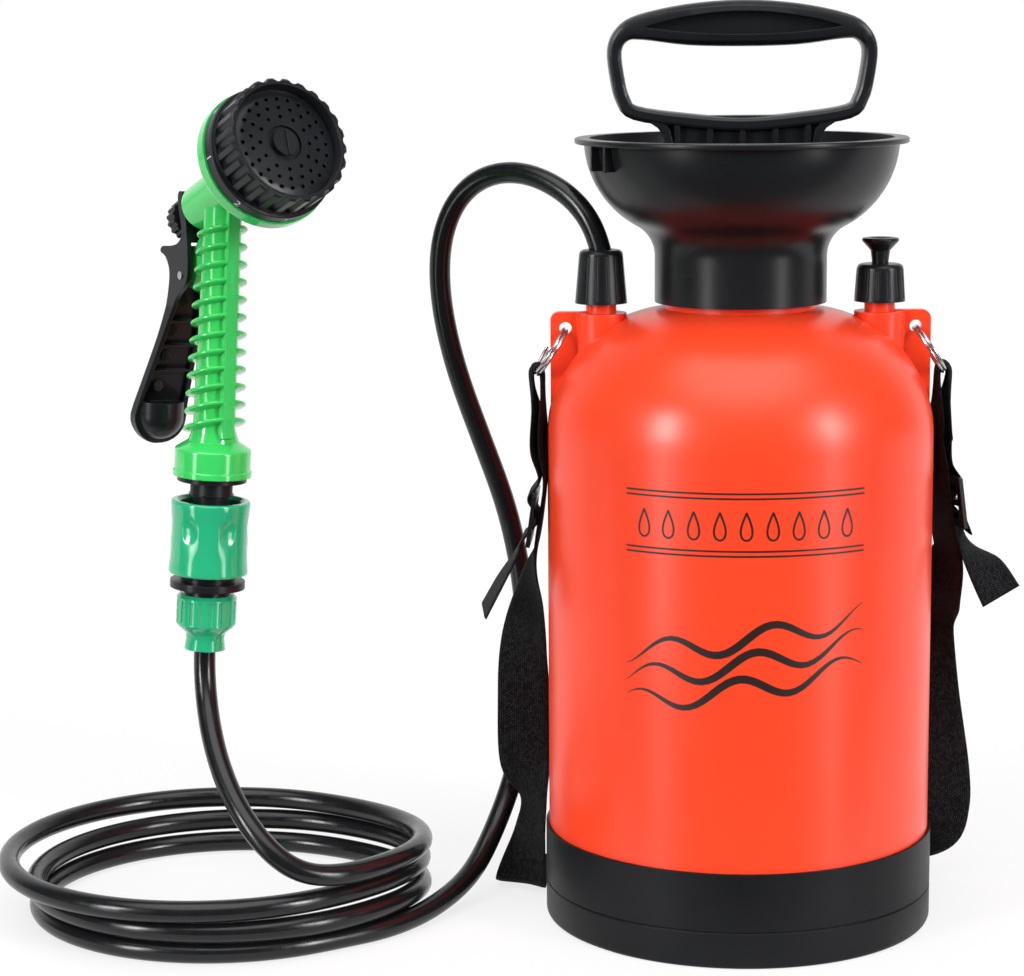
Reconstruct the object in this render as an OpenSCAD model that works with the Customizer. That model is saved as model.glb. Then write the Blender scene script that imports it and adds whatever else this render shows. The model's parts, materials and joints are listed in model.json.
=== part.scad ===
// Pump-up camp shower: a five litre pressure tank with a plunger pump in its
// funnel top, a hose with a loose coil, and a hand-held spray gun with a dial.
// Millimetres, +Z up, origin on the tank's axis at the floor, -Y is the front.

/* [Tank] */
// Outer radius of the tank's straight wall
tank_r = 89; // [84:0.5:96]
// Wall thickness of the tank
tank_wall = 3; // [2:0.5:4]
// Height at which the straight wall turns into the shoulder
wall_top = 229; // [215:1:250]
// Radius of the rounded shoulder
shoulder_r = 58; // [54:1:62]
// Radius of the rounded lower edge
tank_edge_r = 12; // [6:1:20]
// Outer radius of the filling neck
neck_r = 34.6; // [33.6:0.2:36]
// Height of the filling neck above the shoulder
neck_h = 19; // [16:0.5:22]

/* [Base ring] */
// Height of the base ring
base_h = 44; // [30:1:60]
// Wall thickness of the base ring
base_wall = 1.3; // [1:0.1:3]
// Thickness of the base ring's floor
base_floor_t = 3; // [2:0.5:5]
// Depth of the hollow under the base ring's floor
foot_h = 3; // [2:0.5:5]
// Radius of the pad under the middle of the base ring
base_pad_r = 22; // [15:1:30]
// Width of the foot round the edge of the base ring
foot_w = 16; // [10:1:24]
// Height of the shallow groove round the base ring
base_groove_z = 17; // [10:1:25]
// Depth of the shallow groove round the base ring
base_groove_d = 0.6; // [0.3:0.1:0.8]
// Number of ribs under the base ring
base_ribs = 8; // [4:1:12]

/* [Ports and lugs] */
// Distance of both ports from the tank's axis
port_x = 64; // [62:0.5:66]
// Radius of the boss under each port
boss_r = 11.7; // [10.5:0.1:13]
// Height of the boss above the shoulder at the port
boss_h = 8.3; // [6:0.1:10]
// Outer radius of the threaded port necks
port_neck_r = 7; // [6.8:0.1:7.6]
// Radius of the bore through each port
port_bore_r = 4.6; // [4.5:0.1:5]
// Height of the outlet's threaded neck
outlet_neck_h = 21; // [18:0.5:24]
// Height of the relief valve's threaded neck
relief_neck_h = 8; // [7:0.5:9]
// How far a strap lug's outer edge stays inside the tank's wall
lug_in = 1.6; // [1:0.1:2]
// Thickness of a strap lug
lug_t = 5; // [4:0.5:6]
// Radius of the hole in a strap lug
lug_hole_r = 2.9; // [2.8:0.1:3.4]
// Distance from a lug's outer edge to the middle of its hole
lug_hole_in = 6.9; // [6.5:0.1:7.5]

/* [Funnel] */
// Outer radius of the funnel's skirt
skirt_r = 39.4; // [38.6:0.2:41]
// Height of the funnel's skirt
skirt_h = 21; // [21:0.5:24]
// Gap between the shoulder and the funnel's skirt
skirt_gap = 3; // [2:0.5:5]
// Radius of the curve where the skirt flares out
flare_r = 15.7; // [13:0.1:18]
// Angle that the flare turns through
flare_angle = 62; // [58:1:68]
// Outer radius of the funnel's bowl
bowl_r = 71.8; // [68:0.2:78]
// Wall thickness of the funnel
funnel_wall = 2.5; // [2:0.1:3]
// Width of the lip round the funnel's rim
rim_w = 4.2; // [3:0.1:6]
// Thickness of the lip round the funnel's rim
rim_t = 2.6; // [2:0.1:4]
// Radius of the threaded throat that the pump screws into
throat_r = 30; // [28.5:0.25:30.5]
// Height of the ledge in the throat above the skirt
ledge_h = 7; // [6:0.5:8]
// Thickness of the gasket on the tank's neck
gasket_t = 2; // [1.5:0.5:3]

/* [Pump] */
// Radius of the pump cap's flange
cap_r = 35.5; // [34:0.5:36.5]
// Thickness of the pump cap's flange
cap_t = 3.6; // [3:0.1:5]
// Thickness of the seal under the pump cap
cap_seal_t = 1.6; // [1:0.1:2.5]
// Length of the pump cap's threaded plug
plug_h = 16; // [14:0.5:20]
// Wall thickness of the pump cap's plug
plug_wall = 3.7; // [3:0.1:4.2]
// Height of the rod guide's boss on the pump cap
guide_h = 7; // [5:0.5:9]
// Radius of the rod guide's boss on the pump cap
guide_boss_r = 11; // [10:0.5:12]
// Outer radius of the rod guide
guide_r = 8; // [7:0.25:9]
// Outer radius of the pump barrel
barrel_r = 19; // [17:0.5:21]
// Wall thickness of the pump barrel
barrel_wall = 2; // [1.5:0.1:2.5]
// Length of the pump barrel
barrel_len = 230; // [215:1:245]
// Radius of the pump rod
rod_r = 5; // [4.5:0.1:5.5]
// Radius of the pump rod's threaded end
rod_end_r = 4; // [3.5:0.1:4.2]
// Thickness of the piston
piston_h = 9; // [8:0.5:12]
// Room between the piston's nut and the barrel's end at rest
piston_room = 4; // [3.5:0.5:8]
// Thickness of the piston's nut
piston_nut_h = 5; // [4:0.5:6]

/* [Handle] */
// Height of the loop's lower bar above the rod guide
handle_rise = 40.5; // [37:0.5:46]
// Half width of the loop, to the middle of its side bars
loop_w = 57.8; // [54:0.2:64]
// Height of the loop, between the middles of its bars
loop_h = 45.4; // [42:0.2:50]
// Thickness of the grip at its middle
grip_t = 21; // [16:0.5:22]
// Thickness of the loop's side and lower bars
bar_t = 6.6; // [6:0.2:8]
// Depth of the grip from front to back
grip_d = 24; // [20:0.5:28]
// Depth of the loop's lower bar and web
web_d = 18; // [16:0.5:20]
// Half width of the web under the loop
web_w = 34; // [30:0.5:36]
// Thickness of the web's middle plate
web_plate = 10; // [8:0.5:12]
// Thickness of the web's ribs
web_t = 2.4; // [2:0.1:3]
// Distance between the web's upright ribs
web_pitch = 14.8; // [12:0.2:16]
// Radius of the hub that holds the rod
hub_r = 9.5; // [8.5:0.25:10.5]

/* [Outlet and relief valve] */
// Gap between a port boss and its nut
nut_gap = 4.5; // [3:0.25:5]
// Lower radius of the outlet nut
outlet_nut_r = 12; // [11:0.1:13]
// Number of grooves round a port nut
nut_grooves = 14; // [10:1:18]
// Length of the dip tube's spigot below the port
spigot_len = 50; // [45:1:60]
// Outer radius of the dip tube
dip_r = 5.6; // [5.4:0.1:6]
// Gap between the strainer and the tank's floor
dip_gap = 3; // [2:0.5:6]
// Radius of the relief valve's stem
relief_stem_r = 3.75; // [3.4:0.05:4]
// Radius of the relief valve's pull knob
relief_knob_r = 8.5; // [7:0.25:10]
// Height of the pull knob above its nut
relief_knob_h = 11.8; // [10:0.2:14]
// Height of the relief valve's nut
relief_nut_h = 17.2; // [16:0.2:19]
// Turns of the relief valve's spring
relief_turns = 4; // [3:1:5]

/* [Strap] */
// Width of the webbing
strap_w = 25; // [22:0.5:27]
// Thickness of the webbing
strap_t = 1.4; // [1:0.1:1.5]
// Distance of the hanging webbing from the tank's wall
strap_gap = 2.1; // [2.1:0.1:3]
// Width of the webbing where it is gathered in its ring
gathered_w = 10; // [8:0.5:11]
// Radius of a split ring, to the middle of its wire
ring_r = 12.2; // [11.8:0.1:13]
// Radius of a split ring's wire
ring_wire_r = 0.75; // [0.6:0.05:0.8]
// Width of a slide buckle
buckle_w = 34; // [31:0.5:38]
// Height of a slide buckle
buckle_h = 24; // [23:0.5:26]
// Thickness of a slide buckle
buckle_t = 2; // [1.6:0.1:2.2]
// Lean of the strap's buckles, their lower ends outward, in degrees
buckle_tilt = 8; // [0:1:12]
// Height of the left buckle's middle
buckle_left_z = 190; // [180:1:200]
// Height of the right buckle's middle
buckle_right_z = 196; // [185:1:205]

/* [Hose] */
// Outer radius of the hose
hose_r = 5; // [4.5:0.1:5]
// Number of sides of the hose
hose_sides = 10; // [6:1:12]
// Loops of the coil that lies on the floor
coil_turns = 3; // [2:1:5]
// Radius of the coil's lowest loop
coil_r = 90; // [80:1:95]
// How much larger each loop is than the one below
coil_growth = 3.5; // [3:0.5:8]
// Height from one loop to the next
coil_pitch = 10.6; // [10.5:0.1:12]
// Height of the lowest loop's middle above the floor
coil_z = 5.3; // [5.1:0.1:7]
// Share of a turn in which the hose climbs to the next loop
coil_climb = 0.3; // [0.2:0.05:0.6]

/* [Hose coupling] */
// Radius of the hose nut over its ribs
hose_nut_r = 13.8; // [13:0.1:15]
// Length of the hose nut
hose_nut_len = 26; // [24:0.5:30]
// Radius of the coupling's disc
coupling_disc_r = 17.2; // [16:0.1:19]
// Outer radius of the release sleeve
sleeve_r = 18.2; // [17.8:0.1:20]
// Length of the release sleeve
sleeve_len = 34.2; // [32:0.2:36]
// Travel of the release sleeve
sleeve_travel = 3; // [2:0.25:4]
// Outer radius of the coupling's socket
socket_r = 13.9; // [13.2:0.1:14.2]
// Radius of the gun's plug in the socket
plug_r = 8.1; // [7.6:0.1:8.6]

/* [Spray gun] */
// Lean of the gun from upright
gun_lean = 3.8; // [0:0.1:8]
// Turn of the gun about its coupling
gun_yaw = -56; // [-180:1:180]
// Outer radius of the cuff at the grip's lower end
cuff_r = 17.4; // [16.6:0.1:19]
// Radius of the grip's core at its top
core_r = 8.6; // [8:0.1:9.5]
// Radius of the lowest grip fin
fin_r_low = 14.4; // [13:0.1:16]
// Radius of the highest grip fin
fin_r_high = 11.6; // [11:0.1:13]
// Number of grip fins
fins = 12; // [8:1:13]
// Length of the grip from the cuff to the head's axis
grip_len = 113.5; // [110:0.5:120]
// Tilt of the spray head above level
head_tilt = 25.5; // [20:0.5:30]
// Radius of the valve chamber
chamber_r = 11; // [10.4:0.1:12]
// Radius of the bell behind the dial
bell_r = 31; // [30:0.2:33]
// Radius of the spray dial's ring
dial_r = 30.2; // [29.4:0.2:31]
// Length of the spray dial
dial_len = 21.7; // [20:0.1:24]
// Number of flutes round the spray dial
dial_flutes = 24; // [20:1:32]
// Radius of the holes in the rose
rose_hole_r = 0.9; // [0.7:0.05:1.1]
// Width of the trigger
trigger_w = 17; // [15:0.5:19]
// Width of the trigger at its lower end
trigger_low_w = 27; // [22:0.5:28]
// Radius of the trigger's pivot pin
pivot_r = 1.9; // [1.6:0.05:2.2]
// Radius of the valve stem
stem_r = 2.2; // [2:0.05:2.4]
// Radius of the flow knob
flow_knob_r = 9.5; // [8.5:0.25:10]

/* [Fits] */
// Gap between a shaft and its bearing
run_fit = 0.05; // [0.02:0.01:0.08]
// Gap between threaded or plugged pieces
slip_fit = 0.25; // [0.15:0.05:0.3]
// Gap between pieces that move past or rest near each other
clear = 0.3; // [0.2:0.05:0.4]

/* [Hidden] */
$fn = 96;

orange = "#ff4b28";
black = "#1d1f22";
green = "#3ccf63";
sea_green = "#27b27d";
steel = "#c8ccd0";
brass = "#c9a24b";
rubber = "#2b2b2d";
white = "#e8e8e4";

// Heights up the tank's axis
tank_floor = foot_h + base_floor_t;
dome_c = tank_r - shoulder_r;
neck_base = wall_top + sqrt(pow(shoulder_r, 2) - pow(max(neck_r - dome_c, 0), 2));
neck_top = neck_base + neck_h;
skirt_low = neck_base + skirt_gap;
skirt_top = skirt_low + skirt_h;
ledge_z = skirt_top + ledge_h;
lip_ribs_at = [203, 212];
bowl_arc_r = (bowl_r - skirt_r) / (1 - cos(flare_angle)) - flare_r;
rim_z = skirt_top + (flare_r + bowl_arc_r) * sin(flare_angle);
cap_low = ledge_z + cap_seal_t;
cap_top = cap_low + cap_t;
guide_top = cap_top + guide_h;
barrel_low = cap_low - barrel_len;
barrel_in_r = barrel_r - barrel_wall;
valve_plate_t = 3;
piston_nut_low = barrel_low + valve_plate_t + piston_room;
piston_low = piston_nut_low + piston_nut_h;
hub_low = guide_top + clear;
loop_low = guide_top + handle_rise;
rod_top = loop_low - 12;

// Ports, nuts and lugs
port_dome = wall_top + sqrt(pow(shoulder_r, 2) - pow(port_x - dome_c, 2));
boss_top = port_dome + boss_h;
outlet_neck_top = boss_top + outlet_neck_h;
relief_neck_top = boss_top + relief_neck_h;
nut_low = boss_top + nut_gap;
seal_t = 1.5;
tail_low = outlet_neck_top + seal_t;
tail_t = 1.5;
hose_start = tail_low + tail_t;
outlet_nut_h = hose_start + 5 - nut_low;
relief_flange = relief_neck_top + seal_t;
relief_nut_top = nut_low + relief_nut_h;
relief_lid = 2.5;
lug_x = tank_r - lug_in;
lug_top = boss_top + 0.5;
lug_hole_x = lug_x - lug_hole_in;
lug_hole_z = lug_top - 7.5;
inner_dome = wall_top + sqrt(pow(shoulder_r - tank_wall, 2) - pow(port_x + dip_r - dome_c, 2));
spigot_r = port_bore_r - 0.2;
strainer_low = tank_floor + tank_wall + dip_gap;
strainer_h = 18;

// Strap hardware
strap_x = tank_r + strap_gap;
ring_sag = 0.6;
ring_reach = strap_x + strap_t / 2 + clear + ring_wire_r * 2 - lug_hole_x;
ring_hang = asin(ring_reach / (2 * ring_r + ring_sag));
buckle_x = strap_x + strap_t + clear + buckle_t / 2 + clear + strap_t / 2 - 0.1;
weave = buckle_t / 2 + clear + strap_t / 2 + 0.8;
bar_pitch = (buckle_h - 4) / 2;

// Gun frame: its origin is the lower end of the hose nut
gun_at = [-248, -20, 133];
collar_r = 10.2;
collar_low = 14.5;
disc_low = hose_nut_len + 3;
disc_t = 3.2;
sleeve_low = disc_low + disc_t + sleeve_travel + clear;
sleeve_top = sleeve_low + sleeve_len;
sleeve_in_r = sleeve_r - 1.7;
sleeve_pocket = sleeve_low + 17;
spring_seat = sleeve_low + 2.8;
spring_seat_t = 2;
socket_top = sleeve_top - 3.4;
cuff_low = sleeve_top + 11.4;
cuff_h = 16;
cuff_socket_h = 12.5;
inlet_r = 12.9;
inlet_h = 11;
water_r = 4.2;
plug_low = cuff_low - 35;
seal_z = cuff_low - 30.7;
seal_r = 0.95;
jaw_low = cuff_low - 23.3;
jaw_w = 8;
jaw_h = 5;
jaw_bite = 0.5;
head_z = cuff_low + cuff_h + grip_len;

// Spray head frame, along its axis from the grip's middle line
chamber_back = -22;
chamber_wall = 5;
chamber_in_r = 7.6;
gland_t = 2.5;
valve_seat = 10;
poppet_r = 5.6;
poppet_t = 3;
pad_t = 1.7;
poppet_low = valve_seat - clear - pad_t - poppet_t;
stem_back = chamber_back - 17;
knob_front = chamber_back - 7.8;
bell_front = 41;
dial_back = bell_front + clear;
dial_front = dial_back + dial_len;
dial_hub_r = 8;
dial_hub_top = dial_front - 5.5;
dial_rim_r = dial_r - 5;
dial_floor_t = 3.6;
dial_port_at = 14;
dial_port_r = 3.6;
dial_seal_r = 5.3;
dial_seal_deep = 3;
screw_r = 3.5;
screw_low = bell_front - 13.5;
ear_t = 7;
pivot_x = -22.5;
pivot_z = head_z - 40.5;
spoon_z = -69.5;

// Vector and curve helpers
function unit(v) = v / norm(v);
function across(v, along) = unit(v - (v * along) * along);
function smooth_step(t) = t * t * (3 - 2 * t);
function arc(c, r, a0, a1, n) = [for (i = [0:n]) let (a = a0 + (a1 - a0) * i / n) c + r * [cos(a), sin(a)]];
function curve_point(a, b, c, d, t) =
  0.5 * (2 * b + (c - a) * t + (2 * a - 5 * b + 4 * c - d) * t * t + (3 * b - a - 3 * c + d) * t * t * t);
function open_curve(p, n) = [
  for (i = [0:len(p) - 2], k = [0:n - 1])
    curve_point(
      i > 0 ? p[i - 1] : 2 * p[0] - p[1], p[i], p[i + 1],
      i + 2 < len(p) ? p[i + 2] : 2 * p[i + 1] - p[i], k / n
    ),
  p[len(p) - 1]
];
function closed_curve(p, n) = [
  for (i = [0:len(p) - 1], k = [0:n - 1])
    let (m = len(p)) curve_point(p[(i + m - 1) % m], p[i], p[(i + 1) % m], p[(i + 2) % m], k / n)
];
function tangents(p) = [for (i = [0:len(p) - 1]) unit(p[min(i + 1, len(p) - 1)] - p[max(i - 1, 0)])];
function first_normal(t) = unit(cross(t, abs(t.z) < 0.8 ? [0, 0, 1] : [0, 1, 0]));
function normals(t) = [
  for (i = 0, n = first_normal(t[0]); i < len(t); n = i + 1 < len(t) ? across(n, t[i + 1]) : n, i = i + 1) n
];
function ring_faces(rings, sides, closed) = [
  for (i = [0:rings - (closed ? 1 : 2)], k = [0:sides - 1])
    let (a = i * sides, b = ((i + 1) % rings) * sides, j = (k + 1) % sides)
      each [[a + k, b + k, b + j], [a + k, b + j, a + j]]
];
function cap_faces(rings, sides) = [
  for (k = [1:sides - 2])
    let (e = (rings - 1) * sides) each [[0, k, k + 1], [e, e + k + 1, e + k]]
];

// Round tube along a list of points
module tube(p, r, sides) {
  t = tangents(p);
  n = normals(t);
  points = [
    for (i = [0:len(p) - 1], k = [0:sides - 1])
      let (a = 360 * k / sides) p[i] + r * (cos(a) * n[i] + sin(a) * cross(t[i], n[i]))
  ];
  polyhedron(points, concat(ring_faces(len(p), sides, false), cap_faces(len(p), sides)));
}

// Helical spring about the Z axis with ends that stay inside its height
module spring(coil, wire, height, turns) {
  steps = turns * 10;
  tube([for (i = [0:steps]) let (a = 360 * turns * i / steps)
      [coil * cos(a), coil * sin(a), wire + (height - 2 * wire) * i / steps]], wire, 6);
}

// Flat washer or sealing ring standing on z = 0
module washer(outer, inner, h) {
  difference() {
    cylinder(r = outer, h = h);
    translate([0, 0, -1]) cylinder(r = inner, h = h + 2);
  }
}

// Round-section ring about the Z axis
module oring(mid, thick) {
  rotate_extrude() translate([mid, 0]) circle(r = thick, $fn = 24);
}

// Upright grooves round a grip, cut by round bars that follow its taper
module grooves(n, r_low, r_high, h, bar) {
  lean = atan((r_low - r_high) / h);
  for (i = [0:n - 1])
    rotate([0, 0, 360 * i / n]) translate([r_low, 0, 0]) rotate([0, -lean, 0])
      cylinder(r = bar, h = h / cos(lean), $fn = 16);
}

// Tank body, ports and lugs

module tank_profile(inset) {
  low = tank_floor + inset;
  wall_r = tank_r - inset;
  edge = tank_edge_r;
  translate([0, low]) square([wall_r - edge, edge]);
  translate([0, low + edge]) square([wall_r, wall_top - low - edge]);
  intersection() {
    translate([wall_r - edge, low + edge]) circle(r = edge);
    translate([0, low]) square([wall_r, edge]);
  }
  intersection() {
    translate([dome_c, wall_top]) circle(r = shoulder_r - inset);
    translate([0, wall_top]) square([wall_r, shoulder_r]);
  }
  translate([0, wall_top]) square([dome_c, shoulder_r - inset]);
}

module lug_outline() {
  low = wall_top + 8;
  corner = 4;
  polygon(concat(
    [[port_x, low], [lug_x, low], [lug_x, low + 9]],
    arc([lug_x - corner, lug_top - corner], corner, 0, 90, 8),
    [[port_x + 4, lug_top]]
  ));
}

module tank() {
  color(orange) difference() {
    union() {
      rotate_extrude() tank_profile(0);
      translate([0, 0, wall_top]) cylinder(r = neck_r, h = neck_top - wall_top);
      for (side = [-1, 1])
        translate([side * port_x, 0, 0]) {
          translate([0, 0, wall_top]) cylinder(r = boss_r, h = boss_top - wall_top);
          translate([0, 0, wall_top])
            cylinder(r = port_neck_r, h = (side < 0 ? outlet_neck_top : relief_neck_top) - wall_top);
        }
      for (side = [0, 1])
        mirror([side, 0, 0]) rotate([90, 0, 0]) translate([0, 0, -lug_t / 2])
          linear_extrude(lug_t) lug_outline();
    }
    rotate_extrude() tank_profile(tank_wall);
    translate([0, 0, wall_top]) cylinder(r = neck_r - tank_wall, h = neck_top);
    for (side = [-1, 1]) {
      translate([side * port_x, 0, wall_top]) cylinder(r = port_bore_r, h = neck_top);
      translate([side * lug_hole_x, 0, lug_hole_z]) rotate([90, 0, 0])
        cylinder(r = lug_hole_r, h = 2 * lug_t, center = true);
    }
  }
}

module base_ring() {
  in_r = tank_r + slip_fit - 0.1;
  out_r = in_r + base_wall;
  edge = 2.5;
  color(black) {
    rotate_extrude() difference() {
      union() {
        translate([0, edge]) square([out_r, base_h - edge]);
        square([out_r - edge, edge]);
        intersection() {
          translate([out_r - edge, edge]) circle(r = edge);
          square([out_r, edge]);
        }
      }
      translate([0, tank_floor]) square([in_r, base_h]);
      translate([base_pad_r, -1]) square([out_r - foot_w - base_pad_r, foot_h + 1]);
      translate([out_r, base_groove_z]) rotate(45) square(base_groove_d * sqrt(2), center = true);
    }
    for (i = [0:base_ribs - 1])
      rotate([0, 0, 360 * (i + 0.5) / base_ribs])
        translate([base_pad_r - 1, -1, 1]) cube([out_r - foot_w - base_pad_r + 2, 2, foot_h]);
  }
}

// Funnel and pump

module funnel_profile() {
  bowl_c = [bowl_r - bowl_arc_r, rim_z];
  flare_c = [skirt_r + flare_r, skirt_top];
  in_flare = flare_r + funnel_wall;
  ledge_a = asin((ledge_z - skirt_top) / in_flare);
  seat_r = neck_r + slip_fit;
  rim_r = bowl_r + rim_w;
  round = 0.8;
  polygon(concat(
    [[seat_r, skirt_low], [skirt_r, skirt_low]],
    arc(flare_c, flare_r, 180, 180 - flare_angle, 12),
    arc(bowl_c, bowl_arc_r, -flare_angle, -asin(rim_t / bowl_arc_r), 16),
    arc([rim_r - round, rim_z - rim_t + round], round, -90, 0, 4),
    arc([rim_r - round, rim_z - round], round, 0, 90, 4),
    arc(bowl_c, bowl_arc_r - funnel_wall, 0, -flare_angle, 16),
    arc(flare_c, in_flare, 180 - flare_angle, 180 - ledge_a, 10),
    [[throat_r, ledge_z], [throat_r, neck_top + gasket_t], [seat_r, neck_top + gasket_t]]
  ));
}

module funnel() {
  rib_t = 1.4;
  rib_h = 11;
  root = 2.2;
  color(black) {
    rotate_extrude() funnel_profile();
    for (a = lip_ribs_at)
      rotate([0, 0, a]) translate([bowl_r - root, -rib_t / 2, rim_z - rim_t - rib_h])
        cube([rim_w + root - 0.6, rib_t, rib_h + rim_t / 2]);
  }
}

module neck_gasket() {
  color(rubber) translate([0, 0, neck_top])
    washer(neck_r - 0.2, max(neck_r - tank_wall, throat_r) + 0.4, gasket_t);
}

module pump_cap() {
  plug_out = throat_r - slip_fit;
  color(black) translate([0, 0, cap_low]) difference() {
    union() {
      cylinder(r = cap_r, h = cap_t);
      translate([0, 0, -plug_h]) cylinder(r = plug_out, h = plug_h);
      translate([0, 0, cap_t]) cylinder(r = guide_boss_r, h = guide_h);
    }
    translate([0, 0, -plug_h - 1]) cylinder(r = plug_out - plug_wall, h = plug_h + 1);
    translate([0, 0, -1]) cylinder(r = guide_r + run_fit, h = cap_t + guide_h + 2);
    for (i = [0:23])
      rotate([0, 0, 15 * i]) translate([cap_r, 0, -1]) cylinder(r = 1.2, h = cap_t + 2, $fn = 16);
  }
}

module cap_seal() {
  color(rubber) translate([0, 0, ledge_z]) washer(cap_r - 1.5, throat_r + 0.6, cap_seal_t);
}

module pump_barrel() {
  flange_t = 3.5;
  color(white) translate([0, 0, barrel_low]) difference() {
    union() {
      cylinder(r = barrel_r, h = barrel_len);
      translate([0, 0, barrel_len - flange_t])
        cylinder(r = throat_r - slip_fit - plug_wall - slip_fit, h = flange_t);
    }
    translate([0, 0, valve_plate_t]) cylinder(r = barrel_in_r, h = barrel_len);
    translate([0, 0, -1]) cylinder(r = 2 + run_fit, h = valve_plate_t + 2);
    for (i = [0:3])
      rotate([0, 0, 90 * i]) translate([6, 0, -1]) cylinder(r = 2, h = valve_plate_t + 2);
  }
}

module check_valve() {
  lip_t = 1.5;
  color(rubber) translate([0, 0, barrel_low]) {
    translate([0, 0, -lip_t]) cylinder(r = 10, h = lip_t);
    cylinder(r = 2, h = valve_plate_t);
    translate([0, 0, valve_plate_t]) cylinder(r1 = 3, r2 = 1.6, h = 2);
  }
}

module rod_guide() {
  lip_t = 2;
  lip_r = throat_r - slip_fit - plug_wall - slip_fit;
  color(white) difference() {
    union() {
      translate([0, 0, cap_low - 10]) cylinder(r = guide_r, h = guide_top - cap_low + 10);
      translate([0, 0, cap_low - 10]) cylinder(r = min(barrel_in_r - 1, lip_r), h = lip_t);
    }
    translate([0, 0, cap_low - 11]) cylinder(r = rod_r + run_fit, h = guide_top);
  }
}

// Loop stations: middle of the bar, its thickness and its depth, right half from the top
function loop_half() = [
  [0, loop_h, grip_t, grip_d],
  [loop_w * 0.43, loop_h - 0.6, grip_t - 2.4, grip_d - 1],
  [loop_w - 11.8, loop_h - 1.6, bar_t + 5, web_d + 2],
  [loop_w - 3.6, loop_h - 4.8, bar_t + 1.2, web_d],
  [loop_w, loop_h - 12, bar_t, web_d - 2],
  [loop_w - 1.3, 20.7, bar_t, web_d - 2],
  [loop_w - 3.8, 11.4, bar_t, web_d - 2],
  [loop_w - 9.4, 5.4, bar_t, web_d - 1],
  [loop_w * 0.43, 1.8, bar_t, web_d],
  [0, 0, bar_t, web_d]
];

function loop_stations() = let (h = loop_half()) concat(h, [
  for (i = [len(h) - 2:-1:1]) [-h[i][0], h[i][1], h[i][2], h[i][3]]
]);

// Rounded bar section: a squared circle across the bar and from front to back
function squared(v) = sign(v) * sqrt(abs(v));

module handle_loop() {
  s = closed_curve(loop_stations(), 4);
  m = len(s);
  sides = 16;
  points = [
    for (i = [0:m - 1])
      let (
        a = s[(i + m - 1) % m], b = s[(i + 1) % m],
        t = unit([b[0] - a[0], b[1] - a[1]]), out = [-t.y, t.x]
      )
      for (k = [0:sides - 1])
        let (
          angle = 360 * (k + 0.5) / sides,
          u = squared(cos(angle)) * s[i][2] / 2, v = squared(sin(angle)) * s[i][3] / 2
        )
        [s[i][0] + out.x * u, -v, s[i][1] + out.y * u]
  ];
  polyhedron(points, ring_faces(m, sides, true));
}

// Lens-shaped hollow in each face of the grip
module grip_hollow() {
  half = loop_w - 13;
  up = 7;
  down = 3.5;
  up_r = (half * half + up * up) / (2 * up);
  down_r = (half * half + down * down) / (2 * down);
  deep = 6;
  for (side = [0, 1])
    mirror([0, side, 0]) translate([0, -grip_d / 2 + deep, loop_h - 1.6]) rotate([90, 0, 0])
      linear_extrude(deep + 5) intersection() {
        translate([0, up - up_r]) circle(r = up_r, $fn = 180);
        translate([0, down_r - down]) circle(r = down_r, $fn = 360);
      }
}

module web_outline() {
  low = hub_low - loop_low + 4;
  side = [[hub_r, low], [web_w - 4, low + 14], [web_w, low + 25], [web_w + 1.4, -5], [web_w + 4, -1.6],
    [web_w + 8.6, 1.4], [web_w + 6, 4]];
  polygon(concat(side, [for (i = [len(side) - 1:-1:0]) [-side[i].x, side[i].y]]));
}

module handle_web() {
  ribs = floor((web_w - 2) / web_pitch);
  rotate([90, 0, 0]) {
    linear_extrude(web_plate, center = true) web_outline();
    linear_extrude(web_d - 2, center = true) intersection() {
      web_outline();
      union() {
        for (i = [-ribs:ribs])
          translate([i * web_pitch - web_t / 2, hub_low - loop_low]) square([web_t, handle_rise]);
      }
    }
    linear_extrude(web_d - 2, center = true) difference() {
      web_outline();
      translate([0, web_t]) scale((web_w - web_t) / web_w) web_outline();
    }
  }
}

module pump_handle() {
  hub_roof = 3;
  color(black) translate([0, 0, loop_low]) difference() {
    union() {
      difference() {
        handle_loop();
        grip_hollow();
      }
      handle_web();
      translate([0, 0, hub_low - loop_low]) cylinder(r = hub_r, h = rod_top + hub_roof - hub_low);
    }
    translate([0, 0, hub_low - loop_low - 1])
      cylinder(r = rod_r + run_fit, h = rod_top - hub_low + 1);
  }
}

module pump_rod() {
  color(steel) {
    translate([0, 0, piston_low + piston_h])
      cylinder(r = rod_r, h = rod_top - piston_low - piston_h);
    translate([0, 0, piston_nut_low]) cylinder(r = rod_end_r, h = piston_nut_h + piston_h);
  }
}

module piston() {
  groove_w = 4.4;
  out_r = barrel_in_r - clear;
  color(white) translate([0, 0, piston_low]) difference() {
    cylinder(r = out_r, h = piston_h);
    translate([0, 0, -1]) cylinder(r = rod_end_r + run_fit, h = piston_h + 2);
    translate([0, 0, (piston_h - groove_w) / 2]) washer(out_r + 1, barrel_in_r - 4.2, groove_w);
  }
}

module piston_ring() {
  thick = 2;
  color(rubber) translate([0, 0, piston_low + piston_h / 2])
    oring(barrel_in_r - thick - run_fit, thick);
}

module piston_nut() {
  color(steel) translate([0, 0, piston_nut_low]) difference() {
    cylinder(r = rod_end_r + 3.5, h = piston_nut_h, $fn = 6);
    translate([0, 0, -1]) cylinder(r = rod_end_r + run_fit, h = piston_nut_h + 2);
  }
}

// Outlet and relief valve

module port_nut(r_low, h, taper) {
  round = 2.5;
  groove_low = 1.5;
  difference() {
    rotate_extrude() polygon(concat(
      [[0, 0], [r_low, 0]],
      arc([r_low - taper - round, h - round], round, 0, 90, 6),
      [[0, h]]
    ));
    translate([0, 0, groove_low])
      grooves(nut_grooves, r_low + 0.35, r_low + 0.35 - taper, h - round - groove_low, 1.1);
  }
}

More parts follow.
